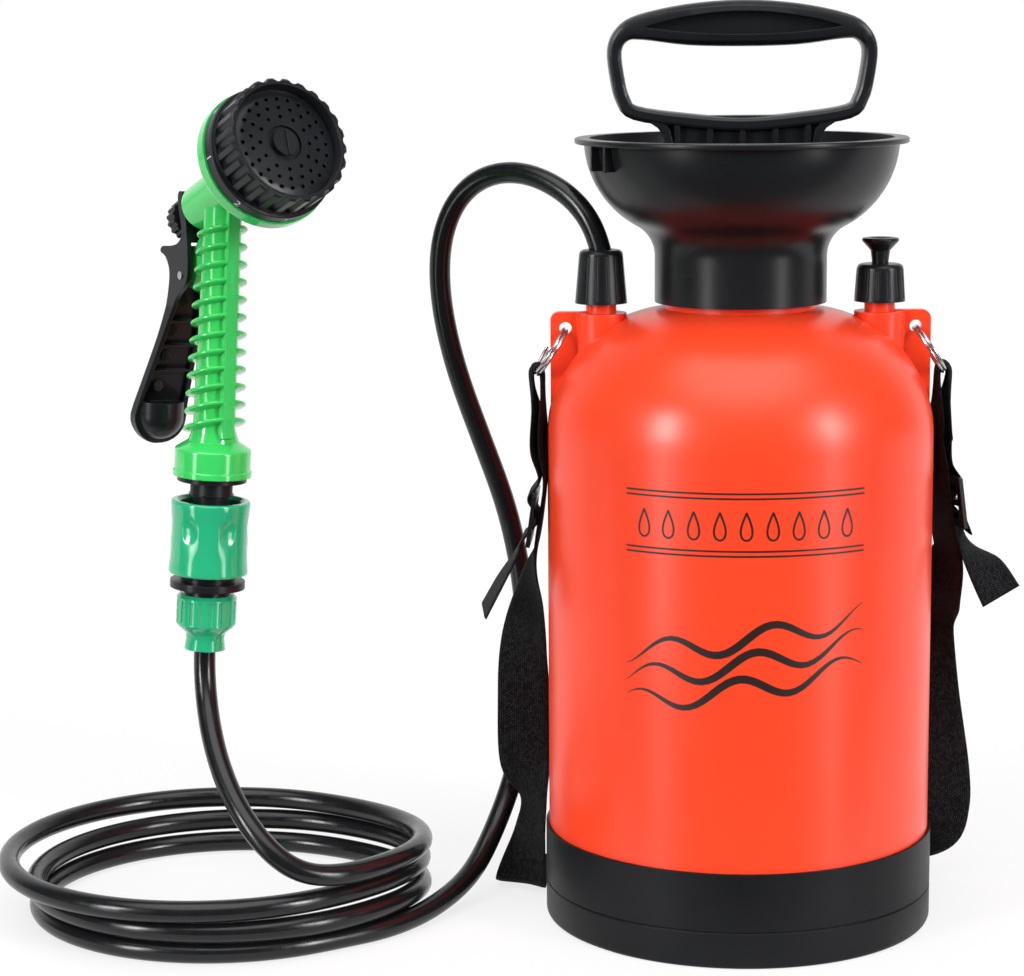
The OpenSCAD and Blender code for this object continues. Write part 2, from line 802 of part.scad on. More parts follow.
module outlet_nut() {
  color(black) translate([-port_x, 0, nut_low]) difference() {
    port_nut(outlet_nut_r, outlet_nut_h, 1.9);
    translate([0, 0, -1]) cylinder(r = port_neck_r + slip_fit, h = hose_start - nut_low + clear + 1);
    cylinder(r = hose_r + clear, h = outlet_nut_h + 1);
  }
}

module outlet_tail() {
  color(black) translate([-port_x, 0, 0]) difference() {
    union() {
      translate([0, 0, tail_low]) cylinder(r = port_neck_r - 0.2, h = tail_t);
      translate([0, 0, boss_top - spigot_len]) cylinder(r = spigot_r, h = tail_low - boss_top + spigot_len);
    }
    translate([0, 0, boss_top - spigot_len - 1]) cylinder(r = spigot_r - 1.6, h = neck_top);
  }
}

module outlet_seal() {
  color(rubber) translate([-port_x, 0, outlet_neck_top])
    washer(port_neck_r - 0.2, spigot_r + 0.2, seal_t);
}

module dip_tube() {
  top = inner_dome - 3;
  low = strainer_low + 4;
  color(white) translate([-port_x, 0, low]) washer(dip_r, spigot_r + run_fit, top - low);
}

module dip_strainer() {
  out_r = dip_r + 2;
  color(black) translate([-port_x, 0, strainer_low]) difference() {
    cylinder(r = out_r, h = strainer_h);
    translate([0, 0, 4]) cylinder(r = dip_r + run_fit, h = strainer_h);
    translate([0, 0, 2]) cylinder(r = dip_r - 1, h = strainer_h);
    for (a = [0, 60, 120])
      rotate([0, 0, a]) translate([-out_r - 1, -0.6, 2]) cube([2 * out_r + 2, 1.2, 1.8]);
  }
}

module relief_nut() {
  lid_low = relief_nut_h - relief_lid;
  color(black) translate([port_x, 0, nut_low]) difference() {
    port_nut(outlet_nut_r - 0.3, relief_nut_h, 1);
    translate([0, 0, -1]) cylinder(r = port_neck_r + slip_fit, h = lid_low + 1);
    cylinder(r = relief_stem_r + slip_fit, h = relief_nut_h + 1);
  }
}

module relief_knob() {
  low = relief_flange;
  neck = relief_nut_top + 0.5;
  top = relief_nut_top + relief_knob_h;
  color(black) translate([port_x, 0, 0]) rotate_extrude() polygon(concat(
    [[0, low], [port_neck_r - 0.8, low], [port_neck_r - 0.8, low + 1.5], [relief_stem_r, low + 1.5],
      [relief_stem_r, neck], [relief_stem_r + 0.7, neck + 5.5]],
    arc([relief_knob_r - 1, top - 1], 1, -40, 90, 6),
    [[relief_knob_r - 2.5, top], [0, top - 2.5]]
  ));
}

module relief_washer() {
  color(rubber) translate([port_x, 0, relief_neck_top]) cylinder(r = port_neck_r - 0.8, h = seal_t);
}

module relief_spring() {
  low = relief_flange + 1.5;
  wire = 0.45;
  color(steel) translate([port_x, 0, low + 0.05])
    spring(relief_stem_r + wire + 0.9, wire, relief_nut_top - relief_lid - low - 0.1, relief_turns);
}

// Strap, rings and buckles

module split_ring() {
  turns = 2;
  steps = 24 * turns;
  drop = (ring_r + ring_sag) * [sin(ring_hang), 0, -cos(ring_hang)];
  along = [sin(ring_hang), 0, -cos(ring_hang)];
  side = [cos(ring_hang), 0, sin(ring_hang)];
  step = 2 * ring_wire_r + 0.1;
  color(steel) tube([
    for (i = [0:steps])
      let (a = 90 + 360 * turns * i / steps)
        [lug_hole_x, 0, lug_hole_z] + drop + ring_r * (cos(a) * along + sin(a) * [0, 1, 0])
          + step * (turns * i / steps - 1) * side
  ], ring_wire_r, 6);
}

module split_ring_left() {
  mirror([1, 0, 0]) split_ring();
}

module split_ring_right() {
  split_ring();
}

// Each buckle: its middle, and how far it is turned about the upright
buckle_left = [buckle_x + 1.2, 1, buckle_left_z];
buckle_right = [buckle_x + 2.9, 7, buckle_right_z];
turn_left = 4;
turn_right = 18;

module slide_buckle(at, turn) {
  slot_h = bar_pitch - 1.6 - 2;
  color(black) translate(at) rotate([0, -buckle_tilt, turn]) rotate([90, 0, 90])
    linear_extrude(buckle_t, center = true) difference() {
      square([buckle_w, buckle_h], center = true);
      for (side = [-1, 1])
        translate([0, side * (1.6 + slot_h / 2)]) square([strap_w + 1.5, slot_h], center = true);
    }
}

module slide_buckle_left() {
  mirror([1, 0, 0]) slide_buckle(buckle_left, turn_left);
}

module slide_buckle_right() {
  slide_buckle(buckle_right, turn_right);
}

// Webbing stations: place, direction of the width, and width, from a loose end
// through its buckle, over the ring and down past the buckle's inner side
function strap_top(at, turn, tail, tail_way) = let (
  ring_z = lug_hole_z - (2 * ring_r + ring_sag) * cos(ring_hang),
  ring_x = lug_hole_x + (2 * ring_r + ring_sag) * sin(ring_hang),
  level = [cos(turn), sin(turn), 0], up = [0, 0, 1],
  n = cos(buckle_tilt) * level + sin(buckle_tilt) * up, s = cos(buckle_tilt) * up - sin(buckle_tilt) * level,
  w = [-sin(turn), cos(turn), 0], half = [-sin(turn / 2), cos(turn / 2), 0], flat = [0, 1, 0],
  fold = 2.5, pressed = strap_x + strap_t + 0.5, inner = buckle_x - strap_x, bar = bar_pitch,
  part_z = at.z + 32
) [
  [tail, tail_way, strap_w],
  [(tail + at) / 2 + [3, -3, -6], 0.4 * tail_way + 0.6 * w, strap_w],
  [at + (weave + 1.5) * n - (bar + 5) * s, w, strap_w],
  [at + weave * n - bar * s, w, strap_w],
  [at - bar / 2 * s, w, strap_w],
  [at - weave * n, w, strap_w],
  [at + bar / 2 * s, w, strap_w],
  [at + weave * n + bar * s, w, strap_w],
  [at - n + (bar + 9) * s, w, strap_w],
  [[pressed, at.y / 2, part_z], half, strap_w - 2],
  [[pressed, 0, ring_z - 20], flat, strap_w - 6],
  [[ring_x + fold + 0.1, 0, ring_z - 2], flat, gathered_w],
  [[ring_x + 1.7, 0, ring_z + 2.9], flat, gathered_w],
  [[ring_x, 0, ring_z + 4], flat, gathered_w],
  [[ring_x - 1.7, 0, ring_z + 2.9], flat, gathered_w],
  [[strap_x, 0, ring_z - 2], flat, gathered_w],
  [[strap_x, 0, ring_z - 20], flat, strap_w - 6],
  [[strap_x, at.y / 2, part_z], half, strap_w - 2],
  [at - inner * n + (bar + 6) * s, w, strap_w],
  [at - inner * n - (bar + 4) * s, w, strap_w]
];

// Stations chosen along the strap's free lower stretches, each to the middle of the back,
// set out from the tank's wall
strap_left = [
  [[tank_r + 8, 9, 152], [0.45, 0.89, 0]], [[tank_r + 11.5, 19, 124], [0.85, 0.5, 0]],
  [[tank_r + 11.8, 23, 98], [1, 0.15, 0]], [[tank_r + 11.6, 24, 68], [0.97, 0.25, 0]],
  [[tank_r + 7.5, 23, 47], [0.5, 0.87, 0]], [[tank_r + 9, 25, 29], [0.58, 0.81, 0]],
  [[tank_r + 13, 28, 8], [0.9, 0.43, 0]], [[tank_r + 12.8, 37, 2.2], [0.93, 0.36, 0]],
  [[tank_r + 6, 53, 1.2], [0.88, 0.48, 0]], [[tank_r - 13, tank_r - 10, 2.6], [0.68, 0.73, 0.08]],
  [[40, tank_r + 10, 12.8], [0.2, 0.5, 0.84]]
];
strap_right = [
  [[tank_r + 9.5, 7, 168], [-0.42, 0.9, 0]], [[tank_r + 8, 18, 150], [-0.6, 0.8, 0]],
  [[tank_r + 3, 34.5, 132], [-0.8, 0.6, 0]], [[tank_r + 4.4, 36, 98], [-0.95, 0.3, 0]],
  [[tank_r + 9.4, 33, 58], [-1, 0, 0]], [[tank_r + 9.6, 33, 40], [-1, 0, 0.1]],
  [[tank_r + 7, 37, 27], [-0.75, 0, 0.66]], [[tank_r - 3, 53, 20], [-0.15, 0, 1]],
  [[tank_r - 27, tank_r - 11, 15.5], [0, 0, 1]], [[22, tank_r + 8, 14.5], [0, 0, 1]]
];

function flip(s) = [[-s[0].x, s[0].y, s[0].z], [-s[1].x, s[1].y, s[1].z], s[2]];

module shoulder_strap() {
  left = concat(
    strap_top(buckle_left, turn_left, [tank_r + 30, -3, 146], [0.08, 1, 0.1]),
    [for (s = strap_left) [s[0], s[1], strap_w]]
  );
  right = concat(
    strap_top(buckle_right, turn_right, [tank_r + 33, -3, 152], [0.7, 0.69, 0.18]),
    [for (s = strap_right) [s[0], s[1], strap_w]]
  );
  all = concat([for (s = left) flip(s)], [for (i = [len(right) - 1:-1:0]) right[i]]);
  p = open_curve([for (s = all) s[0]], 3);
  w = open_curve([for (s = all) s[1]], 3);
  wide = open_curve([for (s = all) s[2]], 3);
  t = tangents(p);
  points = [
    for (i = [0:len(p) - 1])
      let (a = across(w[i], t[i]) * wide[i] / 2, b = cross(t[i], unit(a)) * strap_t / 2)
        each [p[i] + a + b, p[i] - a + b, p[i] - a - b, p[i] + a - b]
  ];
  color(black) polyhedron(points, concat(ring_faces(len(p), 4, false), cap_faces(len(p), 4)));
}

// Hose: from the outlet over and down to the floor, round the coil, and up to the gun

coil_start = -50;
coil_mid = [-243, 12];
coil_flat = 0.98;
// How far each loop in turn lies to the side of the lowest one
coil_shift = [[0, 0], [1, 2], [2, -7], [3, -4]];

function coil_level(t) = floor(t) + smooth_step(max(0, (t - floor(t) - 1 + coil_climb) / coil_climb));
function coil_point(t) = let (
  a = coil_start - 360 * t, v = coil_level(t), r = coil_r + coil_growth * v,
  x = coil_mid.x + lookup(v, coil_shift)
) [x + r * cos(a), coil_mid.y + coil_flat * r * sin(a), coil_z + coil_pitch * v];
coil_line = [for (i = [0:24 * coil_turns]) coil_point(i / 24)];
coil_gap = min([
  for (i = [0:len(coil_line) - 13], j = [i + 12:len(coil_line) - 1]) norm(coil_line[i] - coil_line[j])
]) - 2 * hose_r;

gun_up = [sin(gun_lean), 0, cos(gun_lean)];

// Points chosen along the hose's free stretches
drop_line = [
  [-port_x, 0, hose_start + clear], [-port_x, 0, hose_start + 5], [-66, 1.2, hose_start + 13],
  [-71.6, 5, 331.5], [-79.6, 11.5, 339.3], [-90.6, 19.5, 345.4], [-103.6, 29, 348.4], [-118.6, 38, 345.4],
  [-131.5, 45, 333.5], [-138.8, 48, 312],
  [-138.5, 50, 284], [-131.5, 51, 252], [-120, 51, 219], [-108.5, 51, 186], [-101.5, 51, 152],
  [-99, 50, 118], [-99.5, 49, 85], [-105, 46, 56], [-115, 33, 31],
  [-127, 10, 14], [-143, -14, 6.8], [-157, -33, coil_z], [-170, -46.5, coil_z], coil_line[0]
];
rise_line = [
  coil_line[len(coil_line) - 1], [-200, -71, 39.5], [-213, -71.5, 48], [-225, -65, 60.5], [-233, -56, 71],
  [-239.5, -46, 83], [-244.5, -35, 97], [-247.3, -25.5, 111],
  gun_at - 9 * gun_up, gun_at, gun_at + (collar_low - clear) * gun_up
];

module hose_drop() {
  color(black) tube(open_curve(drop_line, 2), hose_r, hose_sides);
}

module hose_coil() {
  echo(str("least gap between the coil's loops: ", coil_gap, " mm"));
  color(black) tube(coil_line, hose_r, 6);
}

module hose_rise() {
  color(black) tube(open_curve(rise_line, 2), hose_r, hose_sides);
}

// Hose coupling, in the gun's frame

module in_gun() {
  translate(gun_at) rotate([0, gun_lean, 0]) rotate([0, 0, gun_yaw]) children();
}

// Spray head frame: its Z axis is the direction of the spray
module in_head() {
  in_gun() translate([0, 0, head_z]) rotate([0, 90 - head_tilt, 0]) children();
}

module hose_nut() {
  shoulder = 11;
  tail_r = 9.4;
  top_r = hose_nut_r - 1.4;
  color(sea_green) in_gun() difference() {
    rotate_extrude() polygon([[0, 0], [tail_r, 0], [tail_r - 0.6, 5], [tail_r - 0.2, 7.5],
      [hose_nut_r - 0.8, shoulder], [hose_nut_r, shoulder + 1.2], [hose_nut_r, hose_nut_len - 1.5],
      [top_r, hose_nut_len], [0, hose_nut_len]]);
    translate([0, 0, shoulder + 2])
      grooves(18, hose_nut_r + 0.5, hose_nut_r + 0.5, hose_nut_len - shoulder - 4.5, 1.2);
    translate([0, 0, -1]) cylinder(r = hose_r + clear, h = hose_nut_len);
    translate([0, 0, collar_low - clear]) cylinder(r = collar_r + slip_fit, h = hose_nut_len);
  }
}

module coupling_body() {
  waist_r = 12.4;
  seat_low = spring_seat - spring_seat_t;
  color(black) in_gun() difference() {
    union() {
      translate([0, 0, collar_low]) cylinder(r = collar_r, h = disc_low - collar_low);
      translate([0, 0, disc_low]) cylinder(r = coupling_disc_r, h = disc_t);
      translate([0, 0, disc_low]) cylinder(r = waist_r, h = seat_low - disc_low + 1);
      translate([0, 0, seat_low]) cylinder(r = sleeve_in_r - clear, h = spring_seat_t);
      translate([0, 0, seat_low]) cylinder(r = socket_r, h = socket_top - seat_low);
    }
    translate([0, 0, collar_low - 1]) cylinder(r = water_r + clear, h = plug_low - collar_low);
    translate([0, 0, plug_low - 2]) cylinder(r = plug_r + slip_fit, h = cuff_low - plug_low);
    jaws(0);
  }
}

module jaws(gap) {
  for (i = [0:2])
    rotate([0, 0, 120 * i]) translate([plug_r - jaw_bite, gap - jaw_w / 2, jaw_low + gap])
      cube([socket_r, jaw_w - 2 * gap, jaw_h - 2 * gap]);
}

module lock_jaws() {
  color(white) in_gun() intersection() {
    jaws(clear / 2);
    translate([0, 0, jaw_low - 1]) washer(socket_r - 0.1, plug_r - jaw_bite, jaw_h + 2);
  }
}

module release_sleeve() {
  round = 1.2;
  grip_r = sleeve_r - 0.6;
  bore_r = socket_r + clear;
  dimple_r = 16;
  dimple_d = 1.1;
  color(sea_green) in_gun() translate([0, 0, sleeve_low]) difference() {
    rotate_extrude() polygon(concat(
      arc([sleeve_r - round, round], round, -90, 0, 5),
      [[grip_r, 8], [grip_r, sleeve_len - 9]],
      arc([sleeve_r - round, sleeve_len - round], round, 0, 90, 5),
      [[bore_r + 1.5, sleeve_len], [bore_r, sleeve_len - 1.5], [bore_r, sleeve_pocket - sleeve_low],
        [sleeve_in_r, sleeve_pocket - sleeve_low], [sleeve_in_r, 0]]
    ));
    for (i = [0:5])
      rotate([0, 0, 60 * i]) translate([grip_r - dimple_d + dimple_r, 0, sleeve_len * 0.62])
        sphere(r = dimple_r);
  }
}

module sleeve_spring() {
  wire = 0.6;
  color(steel) in_gun() translate([0, 0, spring_seat + run_fit])
    spring((socket_r + sleeve_in_r) / 2, wire, sleeve_pocket - spring_seat - 2 * run_fit, 5);
}

// Spray gun, in the gun's frame

module gun_inlet() {
  groove_r = plug_r - 1.75;
  groove_h = 1.3;
  neck_r = plug_r - 0.8;
  collar = 10.3;
  collar_top = cuff_low - 2.5;
  flange_r = 15.9;
  color(black) in_gun() difference() {
    rotate_extrude() polygon([
      [water_r, plug_low], [plug_r - 1.2, plug_low], [plug_r, plug_low + 1.2],
      [plug_r, seal_z - groove_h], [groove_r, seal_z - groove_h], [groove_r, seal_z + groove_h],
      [plug_r, seal_z + groove_h], [plug_r, jaw_low - 0.5], [neck_r, jaw_low - 0.5],
      [neck_r, jaw_low + jaw_h + 0.5], [plug_r, jaw_low + jaw_h + 0.5], [plug_r, collar_top - 7],
      [collar, collar_top - 6.5], [collar, collar_top], [flange_r, collar_top], [flange_r, cuff_low],
      [inlet_r, cuff_low], [inlet_r, cuff_low + inlet_h], [water_r, cuff_low + inlet_h]
    ]);
    for (i = [0:5])
      rotate([0, 0, 60 * i]) translate([collar - 0.7, -6, collar_top - 6]) cube([3, 12, 5.9]);
  }
}

module inlet_oring() {
  color(rubber) in_gun() translate([0, 0, seal_z]) oring(plug_r - 0.75, seal_r);
}

module inlet_gasket() {
  color(rubber) in_gun() translate([0, 0, cuff_low + inlet_h])
    washer(inlet_r - 0.1, water_r + 1.3, cuff_socket_h - inlet_h);
}

module grip_fins() {
  first = cuff_low + cuff_h + 7;
  last = head_z - 18.5;
  half = 2.2;
  edge = 0.9;
  root_r = core_r - 2;
  for (i = [0:fins - 1])
    let (s = i / (fins - 1), r = fin_r_low + (fin_r_high - fin_r_low) * s)
      translate([0, 0, first + (last - first) * s]) rotate([0, -20, 0]) rotate_extrude()
        polygon(concat(
          [[4, -half], [root_r, -half]], arc([r - edge, 0], edge, -70, 70, 6), [[root_r, half], [4, half]]
        ));
}

module gun_grip() {
  root = cuff_low + cuff_h;
  lip = cuff_r + 0.6;
  rib_in = 0.6;
  rotate_extrude() polygon(concat(
    [[0, cuff_low], [lip, cuff_low], [lip, cuff_low + 2.4], [cuff_r, cuff_low + 3]],
    arc([cuff_r - 1.5, root - 4.5], 1.5, 0, 60, 4),
    [[core_r + 3, root], [core_r + 1, root + 6], [core_r, head_z - 12], [core_r, head_z], [0, head_z]]
  ));
  grip_fins();
  rotate([90, 0, 0]) linear_extrude(5.6, center = true) polygon([
    [4, root - 1], [fin_r_low - rib_in, root + 3], [fin_r_high - rib_in, head_z - 16],
    [fin_r_high - rib_in, head_z], [4, head_z]
  ]);
}

module pivot_ear() {
  rotate([90, 0, 0]) linear_extrude(ear_t, center = true) hull() {
    translate([pivot_x, pivot_z]) circle(r = 5.5, $fn = 32);
    translate([-8, head_z - 22]) circle(r = 5, $fn = 32);
  }
}

module head_shell() {
  rotate_extrude() polygon(concat(
    [[0, chamber_back], [chamber_r - 0.8, chamber_back], [chamber_r, chamber_back + 0.8], [chamber_r, 22]],
    arc([chamber_r + 12, 22], 12, 180, 108, 8),
    arc([bell_r - 3, bell_front - 4.5], 3, -50, 0, 6),
    [[bell_r, bell_front], [0, bell_front]]
  ));
}

module gun_body() {
  color(green) difference() {
    union() {
      in_gun() gun_grip();
      in_gun() pivot_ear();
      in_head() head_shell();
    }
    in_gun() {
      translate([0, 0, cuff_low - 1]) cylinder(r = inlet_r + slip_fit, h = cuff_socket_h + 1);
      translate([0, 0, cuff_low]) cylinder(r = water_r + clear, h = head_z - cuff_low);
      translate([pivot_x, 0, pivot_z]) rotate([90, 0, 0])
        cylinder(r = pivot_r + run_fit, h = 3 * ear_t, center = true);
    }
    in_head() {
      translate([0, 0, chamber_back + chamber_wall])
        cylinder(r = chamber_in_r, h = valve_seat - chamber_back - chamber_wall);
      translate([0, 0, chamber_back - 1]) cylinder(r = stem_r + run_fit, h = chamber_wall + 2);
      translate([0, 0, valve_seat - 1]) cylinder(r = water_r, h = 9);
      translate([0, 0, valve_seat + 5]) rotate([0, 33, 0]) cylinder(r = dial_port_r - 0.2, h = 40);
      translate([dial_port_at, 0, bell_front - dial_seal_deep]) cylinder(r = dial_seal_r, h = 4);
      translate([0, 0, screw_low - 0.5]) cylinder(r = screw_r + run_fit, h = 20);
    }
  }
}

module gland_seal() {
  color(rubber) in_head() translate([0, 0, chamber_back + chamber_wall])
    washer(chamber_in_r - 2.6, stem_r + run_fit, gland_t);
}

module dial_seal() {
  color(rubber) in_head() translate([dial_port_at, 0, bell_front - dial_seal_deep])
    washer(dial_seal_r - 0.2, dial_port_r, dial_seal_deep + clear - run_fit);
}

module valve_stem() {
  color(brass) in_head() {
    translate([0, 0, stem_back]) cylinder(r = stem_r, h = poppet_low + poppet_t - stem_back);
    translate([0, 0, poppet_low]) cylinder(r = poppet_r, h = poppet_t);
  }
}

module stem_washer() {
  color(rubber) in_head() translate([0, 0, poppet_low + poppet_t]) cylinder(r = poppet_r + 0.4, h = pad_t);
}

module stem_spring() {
  low = chamber_back + chamber_wall + gland_t + run_fit;
  color(steel) in_head() translate([0, 0, low]) spring(4.6, 0.55, poppet_low - low - run_fit, 6);
}

module flow_knob() {
  hub_h = 3.5;
  disc_h = 6.5;
  deep = 9.2;
  color(black) in_head() translate([0, 0, knob_front]) difference() {
    union() {
      translate([0, 0, -hub_h]) cylinder(r = 4, h = hub_h);
      translate([0, 0, -hub_h - disc_h]) cylinder(r = flow_knob_r, h = disc_h);
    }
    translate([0, 0, -deep]) cylinder(r = stem_r + run_fit, h = deep + 1);
    translate([0, 0, -hub_h - disc_h - 1])
      grooves(16, flow_knob_r + 0.5, flow_knob_r + 0.5, disc_h + 2, 1.3);
  }
}

// Trigger side view about its pivot, x towards the spray, from the top of the front edge down
function trigger_points() = [
  [-1.4, 37], [1.4, 30], [4, 20], [6, 10], [6.5, 0], [3.4, -5], [-2.6, -10], [-7, -17], [-13.4, -31],
  [-23.6, -53], [-29.8, -68], [-30, -76], [-30.8, -81], [-32.8, -82.8], [-34.4, -78], [-34.8, -68],
  [-28.2, -53], [-18.2, -31], [-13.2, -16], [-11, -5], [-11.5, 2], [-15.5, 7], [-20.5, 9], [-19, 11.5],
  [-11, 12.5], [-4, 14.5], [-0.4, 19.5], [-3.4, 27.5], [-5.6, 35], [-4.4, 38]
];

module trigger_side() {
  polygon(closed_curve(trigger_points(), 4));
}

// Trigger seen from the front, wider towards its round lower end
module trigger_front(inset) {
  half = trigger_w / 2 - inset;
  top = 45;
  polygon(concat(
    [[-half, top], [-half, -15]],
    arc([0, spoon_z], trigger_low_w / 2 - inset, 180, 360, 16),
    [[half, -15], [half, top]]
  ));
}

module trigger_block(inset, shift) {
  reach = 80;
  intersection() {
    linear_extrude(trigger_low_w, center = true) translate(shift) trigger_side();
    rotate([0, 90, 0]) linear_extrude(reach, center = true) trigger_front(inset);
  }
}

// Round cushion that fills the trigger's lower end and bulges towards the grip
module trigger_spoon() {
  spoon_r = 11.3;
  spoon_x = -31.6;
  rise = 7;
  intersection() {
    translate([spoon_x, spoon_z, 0]) {
      sphere(r = spoon_r);
      rotate([-90, 0, 0]) cylinder(r = spoon_r, h = rise);
    }
    linear_extrude(trigger_low_w, center = true)
      polygon([[-31, -62.5], [-33.2, -68], [-33.2, -77], [-31.8, -81], [-18, -81], [-18, -62.5]]);
  }
}

module trigger() {
  skin = 2.3;
  cheek = 2.2;
  rib_t = 1.2;
  ribs_at = [-47, -34.5, -22.5];
  hollow_low = -62.5;
  hollow_top = 16;
  hollow_x = -16;
  hollow_wide = 62;
  studs = [[-54.5, 1.4], [-39.5, 1.4], [-27, 1.4], [-12, 6]];
  stud_r = 2.6;
  stud_side = 4.5;
  back_edge = [[-60, -31.4], [-53, -28.2], [-31, -18.2], [-16, -13.2], [-5, -11]];
  color(black) in_gun() translate([pivot_x, 0, pivot_z]) rotate([90, 0, 0]) {
    difference() {
      trigger_block(0, [0, 0]);
      difference() {
        intersection() {
          trigger_block(cheek, [skin, 1]);
          translate([hollow_x, (hollow_low + hollow_top) / 2, 0])
            cube([hollow_wide, hollow_top - hollow_low, trigger_low_w], center = true);
        }
        for (y = ribs_at)
          translate([hollow_x, y, 0]) cube([hollow_wide, rib_t, trigger_low_w], center = true);
      }
      linear_extrude(ear_t + 2 * clear, center = true) translate([0, 7]) square([30, 14], center = true);
      cylinder(r = pivot_r + run_fit, h = 2 * trigger_w, center = true);
      translate([-pivot_x, head_z - pivot_z, 0]) rotate(head_tilt) translate([chamber_back - 16, 0, 0])
        cube([34, 11, 2 * stem_r + 2 * clear], center = true);
    }
    for (s = studs)
      translate([lookup(s[0], back_edge) + skin / 2, s[0], stud_side]) rotate([0, 90, 0])
        cylinder(r = stud_r, h = skin / 2 + s[1]);
    trigger_spoon();
  }
}

module trigger_pin() {
  color(steel) in_gun() translate([pivot_x, 0, pivot_z]) rotate([90, 0, 0])
    cylinder(r = pivot_r, h = trigger_w + 1, center = true);
}

module spray_dial() {
  cup_r = dial_r - 1.6;
  ring_h = 5.7;
  rib_t = 1.6;
  flute_r = 2.6;
  flute_out = 0.9;
  color(black) in_head() translate([0, 0, dial_back]) difference() {
    union() {
      rotate_extrude() polygon([[0, 0], [dial_r - 0.5, 0], [dial_r, 0.5], [dial_r, ring_h - 0.4],
        [dial_r - 0.6, ring_h], [cup_r, ring_h], [cup_r, dial_len - 0.8], [cup_r - 1, dial_len],
        [dial_rim_r + 0.6, dial_len], [dial_rim_r, dial_len - 1.2], [dial_rim_r, dial_floor_t],
        [dial_hub_r, dial_floor_t], [dial_hub_r, dial_hub_top - dial_back], [0, dial_hub_top - dial_back]]);
      for (i = [0:5])
        rotate([0, 0, 60 * i + 30]) translate([dial_hub_r - 1, -rib_t / 2, dial_floor_t - 1])
          cube([dial_rim_r - dial_hub_r + 2, rib_t, dial_len - 10.4]);
    }
    translate([0, 0, ring_h + 1.2])
      grooves(dial_flutes, cup_r + flute_out, cup_r + flute_out, dial_len, flute_r);
    translate([0, 0, -1]) cylinder(r = screw_r + run_fit, h = dial_len);
    for (i = [0:5])
      rotate([0, 0, 60 * i]) translate([dial_port_at, 0, -1])
        cylinder(r = dial_port_r, h = dial_floor_t + 2);
  }
}

module rose_plate() {
  low = dial_front - 7.6;
  hub = dial_hub_r + 0.1;
  edge = dial_rim_r - 0.1;
  edge_t = 2.4;
  rings = [[12, 12.2], [18, 16.4], [24, 20.6]];
  color(black) in_head() translate([0, 0, low]) difference() {
    rotate_extrude() polygon([[hub, 0], [edge, 0], [edge, edge_t], [edge - 2, edge_t], [edge - 3, 3],
      [hub + 2, 3.6], [hub, 3.6]]);
    for (ring = rings, i = [0:ring[0] - 1])
      rotate([0, 0, 360 * i / ring[0]]) translate([ring[1], 0, -1])
        cylinder(r = rose_hole_r, h = 6, $fn = 16);
  }
}

module dial_screw() {
  head_low = dial_hub_top + 0.1;
  head_t = 2.6;
  slot_w = 1.4;
  color(black) in_head() difference() {
    union() {
      translate([0, 0, screw_low]) cylinder(r = screw_r, h = head_low - screw_low);
      translate([0, 0, head_low]) cylinder(r = 6, h = head_t);
    }
    translate([-7, -slot_w / 2, head_low + head_t - 1]) cube([14, slot_w, 2]);
  }
}

tank();
base_ring();
funnel();
neck_gasket();
outlet_nut();
outlet_tail();
outlet_seal();
dip_tube();
dip_strainer();
relief_nut();
relief_knob();
relief_washer();
relief_spring();
pump_cap();
cap_seal();
pump_barrel();
check_valve();
rod_guide();
pump_handle();
pump_rod();
piston();
piston_ring();
piston_nut();
split_ring_left();
split_ring_right();
slide_buckle_left();
slide_buckle_right();
shoulder_strap();
hose_drop();
hose_coil();
hose_rise();
hose_nut();
coupling_body();
release_sleeve();
sleeve_spring();
lock_jaws();
gun_body();
gun_inlet();
inlet_oring();
inlet_gasket();
trigger();
trigger_pin();
valve_stem();
stem_washer();
stem_spring();
gland_seal();
flow_knob();
spray_dial();
rose_plate();
dial_seal();
dial_screw();
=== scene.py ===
"""Camp shower pump: finishes, hose, strap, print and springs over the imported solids.

Sizes are in millimetres, and MM turns them into Blender's metres; the few in metres say so."""
import json
import math

import bpy
from mathutils import Matrix, Vector


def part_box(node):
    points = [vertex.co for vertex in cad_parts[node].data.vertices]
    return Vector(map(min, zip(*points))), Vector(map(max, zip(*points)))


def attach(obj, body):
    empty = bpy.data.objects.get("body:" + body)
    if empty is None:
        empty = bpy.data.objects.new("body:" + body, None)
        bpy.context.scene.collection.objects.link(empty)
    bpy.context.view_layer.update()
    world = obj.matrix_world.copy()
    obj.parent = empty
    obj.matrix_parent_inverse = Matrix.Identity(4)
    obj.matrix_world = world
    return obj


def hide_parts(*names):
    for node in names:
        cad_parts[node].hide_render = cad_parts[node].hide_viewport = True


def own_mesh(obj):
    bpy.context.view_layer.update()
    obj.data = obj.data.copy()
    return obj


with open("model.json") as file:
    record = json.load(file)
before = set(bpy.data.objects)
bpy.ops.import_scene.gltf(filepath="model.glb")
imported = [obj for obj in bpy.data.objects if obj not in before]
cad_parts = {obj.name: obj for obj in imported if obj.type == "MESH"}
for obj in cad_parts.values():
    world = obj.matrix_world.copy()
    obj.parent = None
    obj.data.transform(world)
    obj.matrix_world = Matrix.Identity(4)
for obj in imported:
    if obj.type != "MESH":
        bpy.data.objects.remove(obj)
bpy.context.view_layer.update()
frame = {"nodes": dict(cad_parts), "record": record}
scene = bpy.context.scene
MM = 0.001
WHITE = (1, 1, 1, 1)


# Small helpers: lines, pieces, and nodes

def smooth_line(places, steps):
    """Values along a smooth curve through the given ones, both ends included."""
    line, last = [], len(places) - 1
    for i in range(last):
        b, c = places[i], places[i + 1]
        a = places[i - 1] if i else 2 * b - c
        d = places[i + 2] if i + 2 <= last else 2 * c - b
        for s in range(steps):
            t = s / steps
            line.append(0.5 * (2 * b + (c - a) * t + (2 * a - 5 * b + 4 * c - d) * t**2
                               + (3 * b - a - 3 * c + d) * t**3))
    return line + [places[last]]


